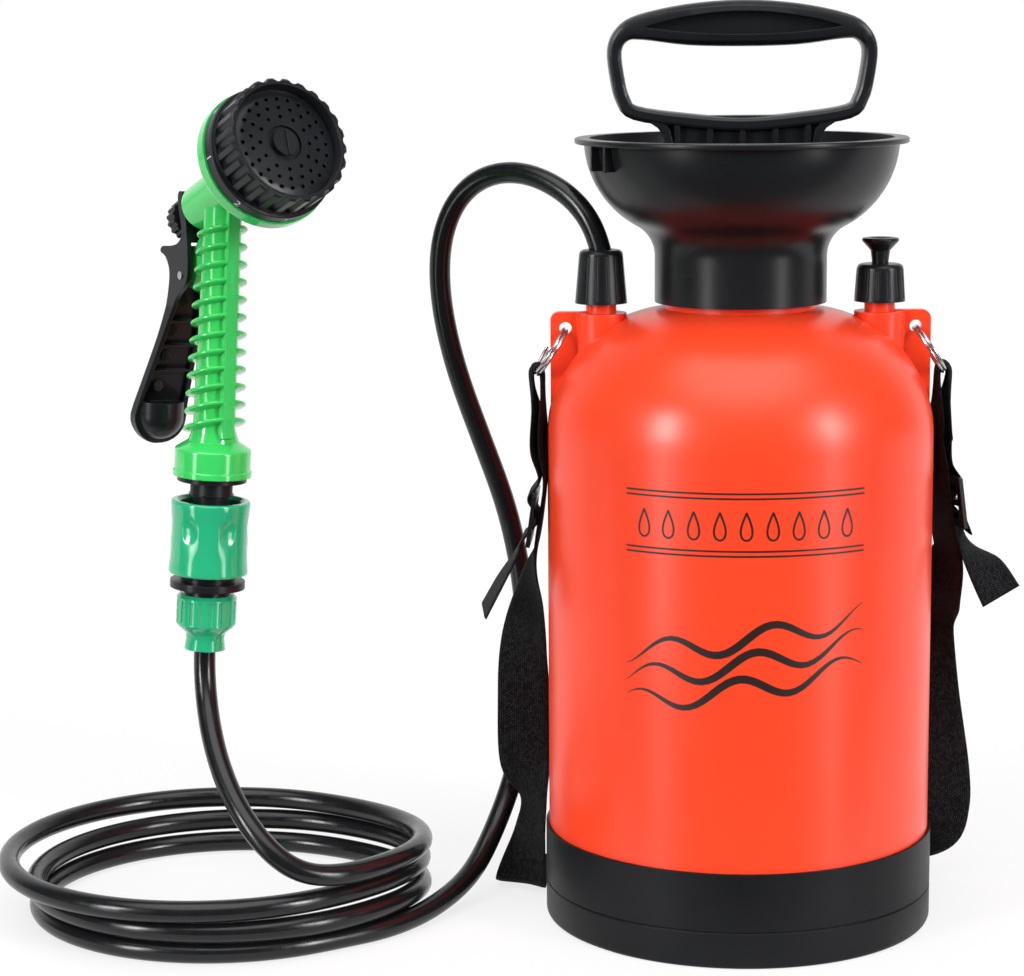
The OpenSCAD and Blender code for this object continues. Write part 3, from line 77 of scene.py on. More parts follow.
def add_object(name, data):
    """A new object in the scene."""
    made = bpy.data.objects.new(name, data)
    scene.collection.objects.link(made)
    return made


def place(piece, body, finish):
    """Puts a finished piece on its body, with its material."""
    piece.data.materials.append(finish)
    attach(piece, body)


def mesh_piece(name, points, faces):
    """A smooth-shaded mesh from points and faces."""
    mesh = bpy.data.meshes.new(name)
    mesh.from_pydata(points, [], faces)
    mesh.polygons.foreach_set("use_smooth", [True] * len(mesh.polygons))
    mesh.update()
    return add_object(name, mesh)


def round_piece(name, line, radius, resolution=8):
    """A round wire, tube or hose along a line of points."""
    curve = bpy.data.curves.new(name, "CURVE")
    curve.dimensions = "3D"
    curve.bevel_depth = radius
    curve.bevel_resolution = resolution
    curve.use_fill_caps = True
    spline = curve.splines.new("POLY")
    spline.points.add(len(line) - 1)
    for point, at in zip(spline.points, line):
        point.co = (*at, 1)
    spline.use_smooth = True
    return add_object(name, curve)


def as_mesh(drawn, name):
    """Swaps a curve or a text for a mesh of the same shape."""
    bpy.context.view_layer.update()
    mesh = bpy.data.meshes.new_from_object(drawn)
    bpy.data.objects.remove(drawn)
    return add_object(name, mesh)


def linear(hex_colour):
    """An sRGB hex colour as the linear numbers a shader takes."""
    parts = [int(hex_colour[i:i + 2], 16) / 255 for i in (1, 3, 5)]
    return tuple(p / 12.92 if p <= 0.04045 else ((p + 0.055) / 1.055) ** 2.4 for p in parts) + (1,)


def set_sockets(tree, made, sockets):
    """Sets a node's sockets; each takes a value or another node's output."""
    for socket, value in sockets.items():
        if isinstance(value, bpy.types.NodeSocket):
            tree.links.new(value, made.inputs[socket])
        else:
            made.inputs[socket].default_value = value


def node(tree, kind, sockets=None, **settings):
    """Adds one node with its settings, values and links."""
    made = tree.nodes.new(kind)
    for name, value in settings.items():
        setattr(made, name, value)
    set_sockets(tree, made, sockets or {})
    return made


def surface(name, sockets):
    """A new material: gives it, its node tree and its main shader with these sockets set."""
    material = bpy.data.materials.new(name)
    material.use_nodes = True
    tree = material.node_tree
    shader = tree.nodes["Principled BSDF"]
    set_sockets(tree, shader, sockets)
    return material, tree, shader


def per_mm(size):
    """A pattern's scale for features of this size in millimetres."""
    return 1 / (size * MM)


# Camera: level with the pump's handle, looking a little down and leaning a little to one side

CAMERA_AT = (-0.1056, -1.306, 0.422)  # metres
CAMERA_TILT = math.radians(80.5)
CAMERA_LEAN = -0.0074
CAMERA_LENS, CAMERA_SENSOR = 100.2, 36

photo_camera = add_object("photo_camera", bpy.data.cameras.new("photo_camera"))
photo_camera.data.sensor_width = CAMERA_SENSOR
photo_camera.data.lens = CAMERA_LENS
photo_camera.location = CAMERA_AT
photo_camera.rotation_mode = "ZYX"
photo_camera.rotation_euler = (CAMERA_TILT, 0, CAMERA_LEAN)
scene.camera = photo_camera


# Materials

def moulded_plastic(name, colour, shade, roughness, grain, depth, edge, coat=0.0, shine=0.5):
    """Injection-moulded plastic: an even colour that is a touch uneven in the melt, a fine
    mould grain that breaks the gloss, and edges rounded by the tool so that they catch light."""
    material, tree, shader = surface(name, {"IOR": 1.5, "Coat Weight": coat, "Coat Roughness": 0.06,
                                            "Specular IOR Level": shine})
    at = node(tree, "ShaderNodeTexCoord").outputs["Object"]
    melt = node(tree, "ShaderNodeTexNoise", {"Vector": at, "Scale": per_mm(35), "Detail": 3.0})
    tint = node(tree, "ShaderNodeMix", {"Factor": melt.outputs["Fac"], "A": linear(colour),
                                        "B": linear(shade)}, data_type="RGBA")
    skin = node(tree, "ShaderNodeTexNoise", {"Vector": at, "Scale": per_mm(grain), "Detail": 2.0})
    gloss = node(tree, "ShaderNodeMapRange", {"Value": melt.outputs["Fac"], "From Min": 0.3,
                                              "From Max": 0.7, "To Min": roughness * 0.85,
                                              "To Max": roughness * 1.15})
    rounded = node(tree, "ShaderNodeBevel", {"Radius": edge * MM}, samples=4)
    bump = node(tree, "ShaderNodeBump", {"Height": skin.outputs["Fac"], "Distance": depth * MM,
                                         "Strength": 0.6, "Normal": rounded.outputs["Normal"]})
    set_sockets(tree, shader, {"Base Color": tint.outputs["Result"], "Roughness": gloss.outputs["Result"],
                               "Normal": bump.outputs["Normal"]})
    return material


def blown_hdpe():
    """Blow-moulded polyethylene: waxy satin orange-red, faintly wavy because only its outside
    touched the mould, with the thin flash line where the two mould halves met."""
    material, tree, shader = surface("blow_moulded_hdpe", {
        "IOR": 1.54, "Specular IOR Level": 0.36, "Subsurface Weight": 0.06,
        "Subsurface Radius": (0.004, 0.0012, 0.0006)})
    at = node(tree, "ShaderNodeTexCoord").outputs["Object"]
    pull = node(tree, "ShaderNodeTexNoise", {"Vector": at, "Scale": per_mm(60), "Detail": 2.0})
    tint = node(tree, "ShaderNodeMix", {"Factor": pull.outputs["Fac"], "A": linear("#FA4826"),
                                        "B": linear("#F34120")}, data_type="RGBA")
    skin = node(tree, "ShaderNodeTexNoise", {"Vector": at, "Scale": per_mm(1.4), "Detail": 3.0})
    gloss = node(tree, "ShaderNodeMapRange", {"Value": pull.outputs["Fac"], "From Min": 0.3,
                                              "From Max": 0.7, "To Min": 0.28, "To Max": 0.36})
    away = node(tree, "ShaderNodeSeparateXYZ", {"Vector": at})
    seam = node(tree, "ShaderNodeMath", {0: away.outputs["Y"]}, operation="ABSOLUTE")
    flash = node(tree, "ShaderNodeMapRange", {"Value": seam.outputs["Value"], "From Min": 0.5 * MM,
                                              "From Max": 0.15 * MM, "To Max": 0.2 * MM})
    wave = node(tree, "ShaderNodeBump", {"Height": pull.outputs["Fac"], "Distance": 0.5 * MM,
                                         "Strength": 0.5})
    grain = node(tree, "ShaderNodeBump", {"Height": skin.outputs["Fac"], "Distance": 0.02 * MM,
                                          "Strength": 0.6, "Normal": wave.outputs["Normal"]})
    line = node(tree, "ShaderNodeBump", {"Height": flash.outputs["Result"], "Distance": 1.0,
                                         "Normal": grain.outputs["Normal"]})
    set_sockets(tree, shader, {"Base Color": tint.outputs["Result"], "Roughness": gloss.outputs["Result"],
                               "Normal": line.outputs["Normal"]})
    return material


def hose_vinyl():
    """Extruded soft PVC: deep black with a wet gloss that the die left a touch uneven."""
    material, tree, shader = surface("extruded_soft_pvc", {"IOR": 1.53, "Specular IOR Level": 0.34,
                                                           "Base Color": linear("#141517")})
    at = node(tree, "ShaderNodeTexCoord").outputs["Object"]
    drag = node(tree, "ShaderNodeTexNoise", {"Vector": at, "Scale": per_mm(6), "Detail": 3.0})
    gloss = node(tree, "ShaderNodeMapRange", {"Value": drag.outputs["Fac"], "From Min": 0.3,
                                              "From Max": 0.7, "To Min": 0.16, "To Max": 0.28})
    bump = node(tree, "ShaderNodeBump", {"Height": drag.outputs["Fac"], "Distance": 0.1 * MM,
                                         "Strength": 0.5})
    set_sockets(tree, shader, {"Roughness": gloss.outputs["Result"], "Normal": bump.outputs["Normal"]})
    return material


def strap_webbing():
    """Woven polypropylene webbing: narrow ribs across, split by the warp into small bricks, with
    a soft sheen. The threads are drawn 1.5 mm wide, coarse enough to show."""
    material, tree, shader = surface("woven_polypropylene", {
        "Roughness": 0.7, "Specular IOR Level": 0.1, "Sheen Weight": 0.03, "Sheen Roughness": 0.4})
    run = node(tree, "ShaderNodeUVMap", uv_map="weave").outputs["UV"]
    bricks = node(tree, "ShaderNodeTexBrick", {
        "Vector": run, "Color1": linear("#2B2B2E"), "Color2": linear("#0B0B0C"),
        "Mortar": linear("#010102"), "Scale": per_mm(1.5), "Mortar Size": 0.2,
        "Mortar Smooth": 1.0, "Brick Width": 1.0, "Row Height": 0.7})
    bump = node(tree, "ShaderNodeBump", {"Height": bricks.outputs["Fac"], "Distance": 0.35 * MM,
                                         "Strength": 0.8}, invert=True)
    set_sockets(tree, shader, {"Base Color": bricks.outputs["Color"], "Normal": bump.outputs["Normal"]})
    return material


def bright_metal(name, colour, shade, roughness, stroke):
    """Drawn and plated wire or turned bar: bright, with fine tool marks that blur the gloss."""
    material, tree, shader = surface(name, {"Metallic": 1.0})
    at = node(tree, "ShaderNodeTexCoord").outputs["Object"]
    marks = node(tree, "ShaderNodeTexNoise", {"Vector": at, "Scale": per_mm(stroke), "Detail": 4.0})
    tint = node(tree, "ShaderNodeMix", {"Factor": marks.outputs["Fac"], "A": linear(colour),
                                        "B": linear(shade)}, data_type="RGBA")
    gloss = node(tree, "ShaderNodeMapRange", {"Value": marks.outputs["Fac"], "To Min": roughness * 0.6,
                                              "To Max": roughness * 1.4})
    bump = node(tree, "ShaderNodeBump", {"Height": marks.outputs["Fac"], "Distance": 0.02 * MM})
    set_sockets(tree, shader, {"Base Color": tint.outputs["Result"], "Roughness": gloss.outputs["Result"],
                               "Normal": bump.outputs["Normal"]})
    return material


def screen_ink(name, colour, worn):
    """Screen-printed ink: a thin film, a touch uneven where it was pulled."""
    material, tree, shader = surface(name, {"Roughness": 0.45})
    at = node(tree, "ShaderNodeTexCoord").outputs["Object"]
    pull = node(tree, "ShaderNodeTexNoise", {"Vector": at, "Scale": per_mm(2.5), "Detail": 4.0})
    tint = node(tree, "ShaderNodeMix", {"Factor": pull.outputs["Fac"], "A": linear(colour),
                                        "B": linear(worn)}, data_type="RGBA")
    bump = node(tree, "ShaderNodeBump", {"Height": pull.outputs["Fac"], "Distance": 0.02 * MM})
    set_sockets(tree, shader, {"Base Color": tint.outputs["Result"], "Normal": bump.outputs["Normal"]})
    return material


FINISH = {
    "tank_shell": blown_hdpe(),
    "black_plastic": moulded_plastic("moulded_polypropylene", "#17181B", "#1C1E21", roughness=0.3,
                                     grain=0.7, depth=0.02, edge=0.5, shine=0.29),
    "base_black": moulded_plastic("moulded_polypropylene_matt", "#141517", "#18191B", roughness=0.42,
                                  grain=0.7, depth=0.03, edge=0.5, shine=0.14),
    "gun_green": moulded_plastic("moulded_abs_green", "#3CCF63", "#38C85E", roughness=0.16,
                                 grain=1.1, depth=0.006, edge=0.5, coat=0.5),
    "coupling_green": moulded_plastic("moulded_abs_sea_green", "#27B27D", "#22A874", roughness=0.14,
                                      grain=1.1, depth=0.006, edge=0.4, coat=0.5),
    "white_plastic": moulded_plastic("moulded_acetal", "#E6E6E1", "#DEDED8", roughness=0.4,
                                     grain=0.8, depth=0.02, edge=0.3),
    "seal_rubber": moulded_plastic("moulded_nitrile_rubber", "#1F1F20", "#272728", roughness=0.6,
                                   grain=0.5, depth=0.05, edge=0.2),
    "hose_vinyl": hose_vinyl(),
    "webbing": strap_webbing(),
    "steel": bright_metal("plated_steel", "#C9CBCD", "#B4B7BA", roughness=0.22, stroke=0.6),
    "brass": bright_metal("turned_brass", "#CFA04E", "#B98A3C", roughness=0.28, stroke=0.6),
}


# Solids: each keeps its shape and takes its slot's finish, and the base ring a duller black

CRISP_EDGE = math.radians(32)
WELD_REACH = 0.001


def smooth_by_angle(limit):
    """Round faces shade smoothly and edges sharper than the limit stay crisp."""
    tree = bpy.data.node_groups.new("smooth_by_angle", "GeometryNodeTree")
    tree.interface.new_socket("Geometry", in_out="INPUT", socket_type="NodeSocketGeometry")
    tree.interface.new_socket("Geometry", in_out="OUTPUT", socket_type="NodeSocketGeometry")
    start = node(tree, "NodeGroupInput")
    bare = node(tree, "GeometryNodeRemoveAttribute", {"Geometry": start.outputs[0], "Name": "custom_normal"})
    smooth = node(tree, "GeometryNodeSetShadeSmooth", {"Geometry": bare.outputs[0]})
    bend = node(tree, "GeometryNodeInputMeshEdgeAngle").outputs["Unsigned Angle"]
    sharp = node(tree, "FunctionNodeCompare", {"A": bend, "B": limit}, operation="GREATER_THAN")
    crisp = node(tree, "GeometryNodeSetShadeSmooth", {
        "Geometry": smooth.outputs[0], "Selection": sharp.outputs[0], "Shade Smooth": False}, domain="EDGE")
    node(tree, "NodeGroupOutput", {"Geometry": crisp.outputs[0]})
    return tree


shading = smooth_by_angle(CRISP_EDGE)
SLOT = {part["node"]: part["material_slot"] for part in frame["record"]["subparts"]}
for name, solid in frame["nodes"].items():
    weld = solid.modifiers.new("weld", "WELD")
    weld.merge_threshold = WELD_REACH * MM
    solid.modifiers.new("shading", "NODES").node_group = shading
    solid.data.materials.clear()
    solid.data.materials.append(FINISH["base_black" if name == "base_ring" else SLOT[name]])


# Hose: out of the nut, over and down to the floor, round the coil and up to the gun

HOSE_R = 5
HOSE_STEP, EASE_PASSES, CURVE_STEPS = 3, 16, 6
HOSE_INTO_COLLAR = 14.2
OUTLET_X = 64
COIL_TURNS, COIL_STEPS = 3, 48
COIL_X, COIL_Y, COIL_LOW = -243, 12, 5.3
COIL_R, COIL_GROWTH, COIL_PITCH = 90, 3.5, 10.6
COIL_START = math.radians(-50)
COIL_CLIMB = 0.3  # share of a turn in which a loop climbs on to the next level
COIL_DEPTH = 0.98  # front to back, as a share of the width
COIL_SHIFT = (0, 2, -7, -4, -4)
GUN_AT = Vector((-248, -20, 133))
GUN_LEAN = math.radians(3.8)
GUN_UP = Vector((math.sin(GUN_LEAN), 0, math.cos(GUN_LEAN)))


def coil_point(turn):
    """A place on the coil; each loop lies a little to one side of the one under it."""
    climb = max(0, (turn - math.floor(turn) - 1 + COIL_CLIMB) / COIL_CLIMB)
    level = math.floor(turn) + climb * climb * (3 - 2 * climb)
    below = math.floor(level)
    shift = COIL_SHIFT[below] + (COIL_SHIFT[below + 1] - COIL_SHIFT[below]) * (level - below)
    angle = COIL_START - 2 * math.pi * turn
    radius = COIL_R + COIL_GROWTH * level
    return Vector((COIL_X + shift + radius * math.cos(angle),
                   COIL_Y + COIL_DEPTH * radius * math.sin(angle),
                   COIL_LOW + COIL_PITCH * level))


def even_steps(line, step):
    """The same route in even steps of about this length."""
    run = [0]
    for a, b in zip(line, line[1:]):
        run.append(run[-1] + (b - a).length)
    count, i, even = round(run[-1] / step), 0, []
    for k in range(count + 1):
        while i < len(line) - 2 and run[i + 1] < run[-1] * k / count:
            i += 1
        even.append(line[i].lerp(line[i + 1], (run[-1] * k / count - run[i]) / (run[i + 1] - run[i])))
    return even


def eased(line, passes):
    """Eases the route's small kinks; its first two points and its last one stay."""
    for _ in range(passes):
        inner = [(a + 2 * b + c) / 4 for a, b, c in zip(line[1:], line[2:], line[3:])]
        line = line[:2] + inner + line[-1:]
    return line


def hose():
    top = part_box("outlet_tail")[1].z / MM + 0.3
    coil = [coil_point(i / COIL_STEPS) for i in range(COIL_STEPS * COIL_TURNS + 1)]
    drop = [(-OUTLET_X, 0, top), (-OUTLET_X, 0, top + 4.7), (-66, 1.2, top + 12.7), (-71.6, 5, 331.5),
            (-79.6, 11.5, 339.3), (-90.6, 19.5, 345.4), (-103.6, 29, 348.4), (-118.6, 38, 345.4),
            (-131.5, 45, 333.5), (-138.8, 48, 312), (-138.5, 50, 284), (-131.5, 51, 252), (-120, 51, 219),
            (-108.5, 51, 186), (-101.5, 51, 152), (-99, 50, 118), (-99.5, 49, 85), (-105, 46, 56),
            (-115, 33, 31), (-127, 10, 14), (-143, -14, 6.8), (-157, -33, COIL_LOW), (-170, -46.5, COIL_LOW)]
    rise = [(-200, -71, 39.5), (-213, -71.5, 48), (-225, -65, 60.5), (-233, -56, 71), (-239.5, -46, 83),
            (-244.5, -35, 97), (-247.3, -25.5, 111), GUN_AT - 9 * GUN_UP, GUN_AT,
            GUN_AT + HOSE_INTO_COLLAR * GUN_UP]
    fall = smooth_line([Vector(p) for p in drop] + [coil[0]], CURVE_STEPS)
    climb = smooth_line([coil[-1]] + [Vector(p) for p in rise], CURVE_STEPS)
    route = even_steps(fall[:-1] + coil + climb[1:], HOSE_STEP)
    line = [p * MM for p in eased(route, EASE_PASSES)]
    piece = round_piece("hose", line, HOSE_R * MM)
    place(piece, "tank_body", FINISH["hose_vinyl"])
    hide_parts("hose_drop", "hose_coil", "hose_rise")


hose()


# Shoulder strap: one length of webbing, both loose ends back through their buckles

STRAP_W, STRAP_T, GATHERED_W = 25, 1.4, 10
STRAP_X, LAYER_GAP, FOLD = 91.1, 1.2, 2.5
NEAR_TURN, FAR_TURN = math.radians(10), math.radians(16)
STRAP_STEPS, STRAP_ACROSS = 8, 16
PLEATS, PLEAT_DEPTH, PLEAT_BELOW = 3, 1.3, 0.88
EDGE_THINNING, EDGE_SHARPNESS = 0.75, 12
BUCKLE_X, BUCKLE_BARS, WEAVE = 94.7, 10, 2.8
BUCKLE_TILT = math.radians(8)
LUG_HOLE = Vector((80.5, 0, 278))
RING_R, RING_WIRE, RING_SAG = 12.2, 0.75, 0.6
RING_TURNS, RING_STEPS, RING_GAP = 2, 96, 0.1
RING_HANG = math.radians(31.601)
RING_DOWN = Vector((math.sin(RING_HANG), 0, -math.cos(RING_HANG)))

# Both sides are drawn on the right. Tops: buckle's place and turn, loose end's place and width direction
LEFT_TOP = (Vector((BUCKLE_X + 1.2, 1, 190)), math.radians(4),
            Vector((119, -3, 146)), Vector((0.08, 1, 0.1)))
RIGHT_TOP = (Vector((BUCKLE_X + 2.9, 7, 196)), math.radians(18),
             Vector((121.5, -8, 152)), Vector((0.84, 0.53, 0.13)))

# The free lower stretches, each to the middle of the back: places and width directions
LEFT_LOW = (((97, 9, 152), (0.45, 0.89, 0)), ((100.5, 19, 124), (0.85, 0.5, 0)),
            ((100.8, 23, 98), (1, 0.15, 0)), ((100.6, 24, 68), (0.97, 0.25, 0)),
            ((96.5, 23, 47), (0.5, 0.87, 0)), ((98, 25, 29), (0.58, 0.81, 0)),
            ((102, 28, 8), (0.9, 0.43, 0)), ((101.8, 37, 2.2), (0.93, 0.36, 0)),
            ((95, 53, 1.2), (0.88, 0.48, 0)), ((76, 79, 2.6), (0.68, 0.73, 0.08)),
            ((40, 99, 12.8), (0.2, 0.5, 0.84)))
RIGHT_LOW = (((98.5, 7, 168), (-0.42, 0.9, 0)), ((97, 18, 150), (-0.6, 0.8, 0)),
             ((95, 34.5, 132), (-0.8, 0.6, 0)), ((97, 36, 98), (-0.95, 0.3, 0)),
             ((102.4, 33, 58), (-1, 0, 0)), ((102.8, 33, 40), (-1, 0, 0.1)),
             ((99, 37, 27), (-0.75, 0, 0.66)), ((86, 53, 20), (-0.15, 0, 1)),
             ((62, 78, 15.5), (0, 0, 1)), ((22, 97, 14.5), (0, 0, 1)))


def strap_top(buckle, turn, tail, tail_way):
    """Places, width directions and widths from a loose end through its buckle, over the ring
    and down past the buckle's inner side."""
    ring = LUG_HOLE + (2 * RING_R + RING_SAG) * RING_DOWN
    turned = Matrix.Rotation(turn, 3, "Z")
    leant = turned @ Matrix.Rotation(-BUCKLE_TILT, 3, "Y")
    flat = Vector((0, 1, 0))
    out, up, w = leant @ Vector((1, 0, 0)), leant @ Vector((0, 0, 1)), turned @ flat
    near, far = (Matrix.Rotation(a, 3, "Z") @ flat for a in (NEAR_TURN, FAR_TURN))
    pressed, inner = STRAP_X + STRAP_T + LAYER_GAP, BUCKLE_X - STRAP_X
    bar, part_z = BUCKLE_BARS, buckle.z + 32
    return [
        (tail, tail_way, STRAP_W),
        ((tail + buckle) / 2 + Vector((3, -3, -6)), 0.75 * tail_way + 0.25 * w, STRAP_W),
        (buckle + (WEAVE + 1.5) * out - (bar + 5) * up, w, STRAP_W),
        (buckle + WEAVE * out - bar * up, w, STRAP_W),
        (buckle - bar / 2 * up, w, STRAP_W),
        (buckle - WEAVE * out, w, STRAP_W),
        (buckle + bar / 2 * up, w, STRAP_W),
        (buckle + WEAVE * out + bar * up, w, STRAP_W),
        (buckle - out + (bar + 9) * up, w, STRAP_W),
        (Vector((pressed, buckle.y / 2, part_z)), far, STRAP_W - 1),
        (Vector((pressed, 0, ring.z - 20)), far, STRAP_W - 4),
        (ring + Vector((FOLD + 0.1, 0, -2)), flat, GATHERED_W),
        (ring + Vector((1.7, 0, 2.9)), flat, GATHERED_W),
        (ring + Vector((0, 0, 4)), flat, GATHERED_W),
        (ring + Vector((-1.7, 0, 2.9)), flat, GATHERED_W),
        (Vector((STRAP_X, 0, ring.z - 2)), flat, GATHERED_W),
        (Vector((STRAP_X, 0, ring.z - 20)), near, STRAP_W - 4),
        (Vector((STRAP_X, buckle.y / 2, part_z)), near, STRAP_W - 1),
        (buckle - inner * out + (bar + 6) * up, w, STRAP_W),
        (buckle - inner * out - (bar + 4) * up, w, STRAP_W),
    ]


def strap_route():
    """Stations from the left loose end, round the back, to the right one."""
    left = strap_top(*LEFT_TOP) + [(p, w, STRAP_W) for p, w in LEFT_LOW]
    right = strap_top(*RIGHT_TOP) + [(p, w, STRAP_W) for p, w in RIGHT_LOW]
    return [((-p[0], p[1], p[2]), (-w[0], w[1], w[2]), wide) for p, w, wide in left] + right[::-1]


def strap():
    places, ways, widths = zip(*strap_route())
    line = smooth_line([Vector(p) for p in places], STRAP_STEPS)
    turn = smooth_line([Vector(w) for w in ways], STRAP_STEPS)
    width = smooth_line(widths, STRAP_STEPS)
    points, weave, run = [], [], 0
    for i, at in enumerate(line):
        ahead = (line[min(i + 1, len(line) - 1)] - line[max(i - 1, 0)]).normalized()
        side = (turn[i] - ahead * turn[i].dot(ahead)).normalized()
        face = ahead.cross(side)
        run += (at - line[i - 1]).length if i else 0
        pleat = PLEAT_DEPTH * max(0, PLEAT_BELOW - width[i] / STRAP_W)
        for layer in (1, -1):
            for k in range(STRAP_ACROSS + 1):
                u = layer * (1 - 2 * k / STRAP_ACROSS)
                thin = STRAP_T / 2 * (1 - EDGE_THINNING * abs(u) ** EDGE_SHARPNESS)
                rise = pleat * math.cos(PLEATS * math.pi * u) + layer * thin
                points.append((at + side * (u * width[i] / 2) + face * rise) * MM)
                weave.append((run * MM, u * STRAP_W / 2 * MM))
    ring = 2 * (STRAP_ACROSS + 1)
    faces = [(i * ring + k, i * ring + (k + 1) % ring, (i + 1) * ring + (k + 1) % ring, (i + 1) * ring + k)
             for i in range(len(line) - 1) for k in range(ring)]
    faces += [tuple(range(ring))[::-1], tuple(range((len(line) - 1) * ring, len(line) * ring))]
    piece = mesh_piece("strap", points, faces)
    uv = piece.data.uv_layers.new(name="weave")
    for loop in piece.data.loops:
        uv.data[loop.index].uv = weave[loop.vertex_index]
    place(piece, "tank_body", FINISH["webbing"])
    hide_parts("shoulder_strap")


strap()


def split_rings():
    """Two turns of spring wire on each side, ends lying side by side."""
    step = 2 * RING_WIRE + RING_GAP
    mid = LUG_HOLE + (RING_R + RING_SAG) * RING_DOWN
    aside = Vector((math.cos(RING_HANG), 0, math.sin(RING_HANG)))
    for name, flip in (("left", -1), ("right", 1)):
        line = []
        for i in range(RING_STEPS + 1):
            a = math.radians(90) + 2 * math.pi * RING_TURNS * i / RING_STEPS
            at = mid + RING_R * (math.cos(a) * RING_DOWN + math.sin(a) * Vector((0, 1, 0)))
            at += step * (RING_TURNS * i / RING_STEPS - 1) * aside
            line.append(Vector((flip * at.x, at.y, at.z)) * MM)
        piece = round_piece(f"ring_wire_{name}", line, RING_WIRE * MM, resolution=5)
        place(piece, "tank_body", FINISH["steel"])
        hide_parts(f"split_ring_{name}")


split_rings()


# Print on the tank: two pairs of rules, a row of drops and three ripples, wrapped round it

TANK_R = 89
PRINT_MID = math.radians(-2.5)
PRINT_HALF, PRINT_STEPS, PRINT_LIFT = 55.5, 40, 0.12
RULES, RULE_W = (214.8, 212.6, 189.4, 187.2), 0.8
DROPS, DROP_APART, DROP_Z, DROP_STEPS = 9, 11.6, 200.5, 32
DROP_HALF_W, DROP_HALF_H, DROP_POINT, DROP_LINE = 3.6, 6.2, 1.4, 0.9
RIPPLES, RIPPLE_APART, RIPPLE_Z, RIPPLE_SLOPE = 3, 11, 150, 0.16
RIPPLE_H, RIPPLE_LENGTH, RIPPLE_TIP, RIPPLE_SWELL = 5, 46, 0.2, 3.4
INK = screen_ink("screen_ink_black", "#17110F", "#2A1712")


def tank_print():
    points, faces = [], []

    def stroke(line, widths):
        """A flat stroke along a line of places round the tank and heights."""
        first = len(points)
        for i, (s, z) in enumerate(line):
            s0, z0 = line[max(i - 1, 0)]
            s1, z1 = line[min(i + 1, len(line) - 1)]
            long = math.hypot(s1 - s0, z1 - z0)
            ds, dz = -(z1 - z0) / long * widths[i] / 2, (s1 - s0) / long * widths[i] / 2
            for sign in (1, -1):
                a, r = PRINT_MID + (s + sign * ds) / TANK_R, TANK_R + PRINT_LIFT
                points.append(Vector((r * math.sin(a), -r * math.cos(a), z + sign * dz)) * MM)
        for i in range(first, len(points) - 2, 2):
            faces.append((i, i + 1, i + 3, i + 2))

    half = PRINT_HALF
    span = [-half + 2 * half * i / PRINT_STEPS for i in range(PRINT_STEPS + 1)]
    for z in RULES:
        stroke([(s, z) for s in span], [RULE_W] * len(span))
    for i in range(DROPS):
        mid = (i - (DROPS - 1) / 2) * DROP_APART
        drop = []
        for k in range(DROP_STEPS + 1):
            a = 2 * math.pi * k / DROP_STEPS
            drop.append((mid + DROP_HALF_W * math.sin(a) * math.sin(a / 2) ** DROP_POINT,
                         DROP_Z + DROP_HALF_H * math.cos(a)))
        stroke(drop, [DROP_LINE] * len(drop))
    for i in range(RIPPLES):
        ripple = [(s, RIPPLE_Z + RIPPLE_SLOPE * s - RIPPLE_APART * i
                   + RIPPLE_H * math.sin(2 * math.pi * s / RIPPLE_LENGTH + i)) for s in span]
        stroke(ripple, [RIPPLE_TIP + RIPPLE_SWELL * math.cos(math.pi * s / 2 / half) for s in span])
    piece = mesh_piece("tank_print", points, faces)
    place(piece, "tank_body", INK)


tank_print()


# Numbers round the spray dial's ring

HEAD_AT = Vector((-0.23404, -0.020, 0.34314))  # metres
HEAD_DIR = Vector((0.53214, -0.74828, 0.39611))
DIAL_R, DIAL_BACK = 30.2, 41.3
NUMBERS, NUMBER_H, NUMBER_FOOT, NUMBER_LIFT = 8, 5.4, 0.9, 0.08
PALE_INK = screen_ink("screen_ink_pale", "#E2E4E6", "#C9CCD0")


def dial_numbers():
    side = HEAD_DIR.cross(Vector((0, 0, 1))).normalized()
    turn = Matrix((side, HEAD_DIR.cross(side), HEAD_DIR)).transposed()
    r = DIAL_R + NUMBER_LIFT
    for i in range(NUMBERS):
        words = bpy.data.curves.new("number", "FONT")
        words.body = str(i + 1)
        words.size = NUMBER_H
        words.align_x = "CENTER"
        piece = as_mesh(add_object("number", words), f"dial_number_{i + 1}")
        for point in piece.data.vertices:
            a = 2 * math.pi * i / NUMBERS + point.co.x / DIAL_R
            local = Vector((r * math.cos(a), r * math.sin(a), DIAL_BACK + NUMBER_FOOT + point.co.y))
            point.co = HEAD_AT + turn @ local * MM
        place(piece, "dial", PALE_INK)


dial_numbers()


# Springs in the relief valve, the release sleeve and the gun: wire helices drawn where their solids are

SPRING_STEPS = 24

# Node, joint, body, axis, a point on the axis in metres, wire radius, turns, travel, and the end
# that stays (0 low, 1 high)
SPRINGS = (
    ("relief_spring", "relief_pull", "tank_body", Vector((0, 0, 1)), Vector((OUTLET_X * MM, 0, 0)),
     0.45, 4, 5, 1),
    ("sleeve_spring", "sleeve_release", "tank_body", GUN_UP, GUN_AT * MM, 0.6, 5, 3, 0),
    ("stem_spring", "valve_slide", "gun", HEAD_DIR.normalized(), HEAD_AT, 0.55, 6, 5.8, 0),
)


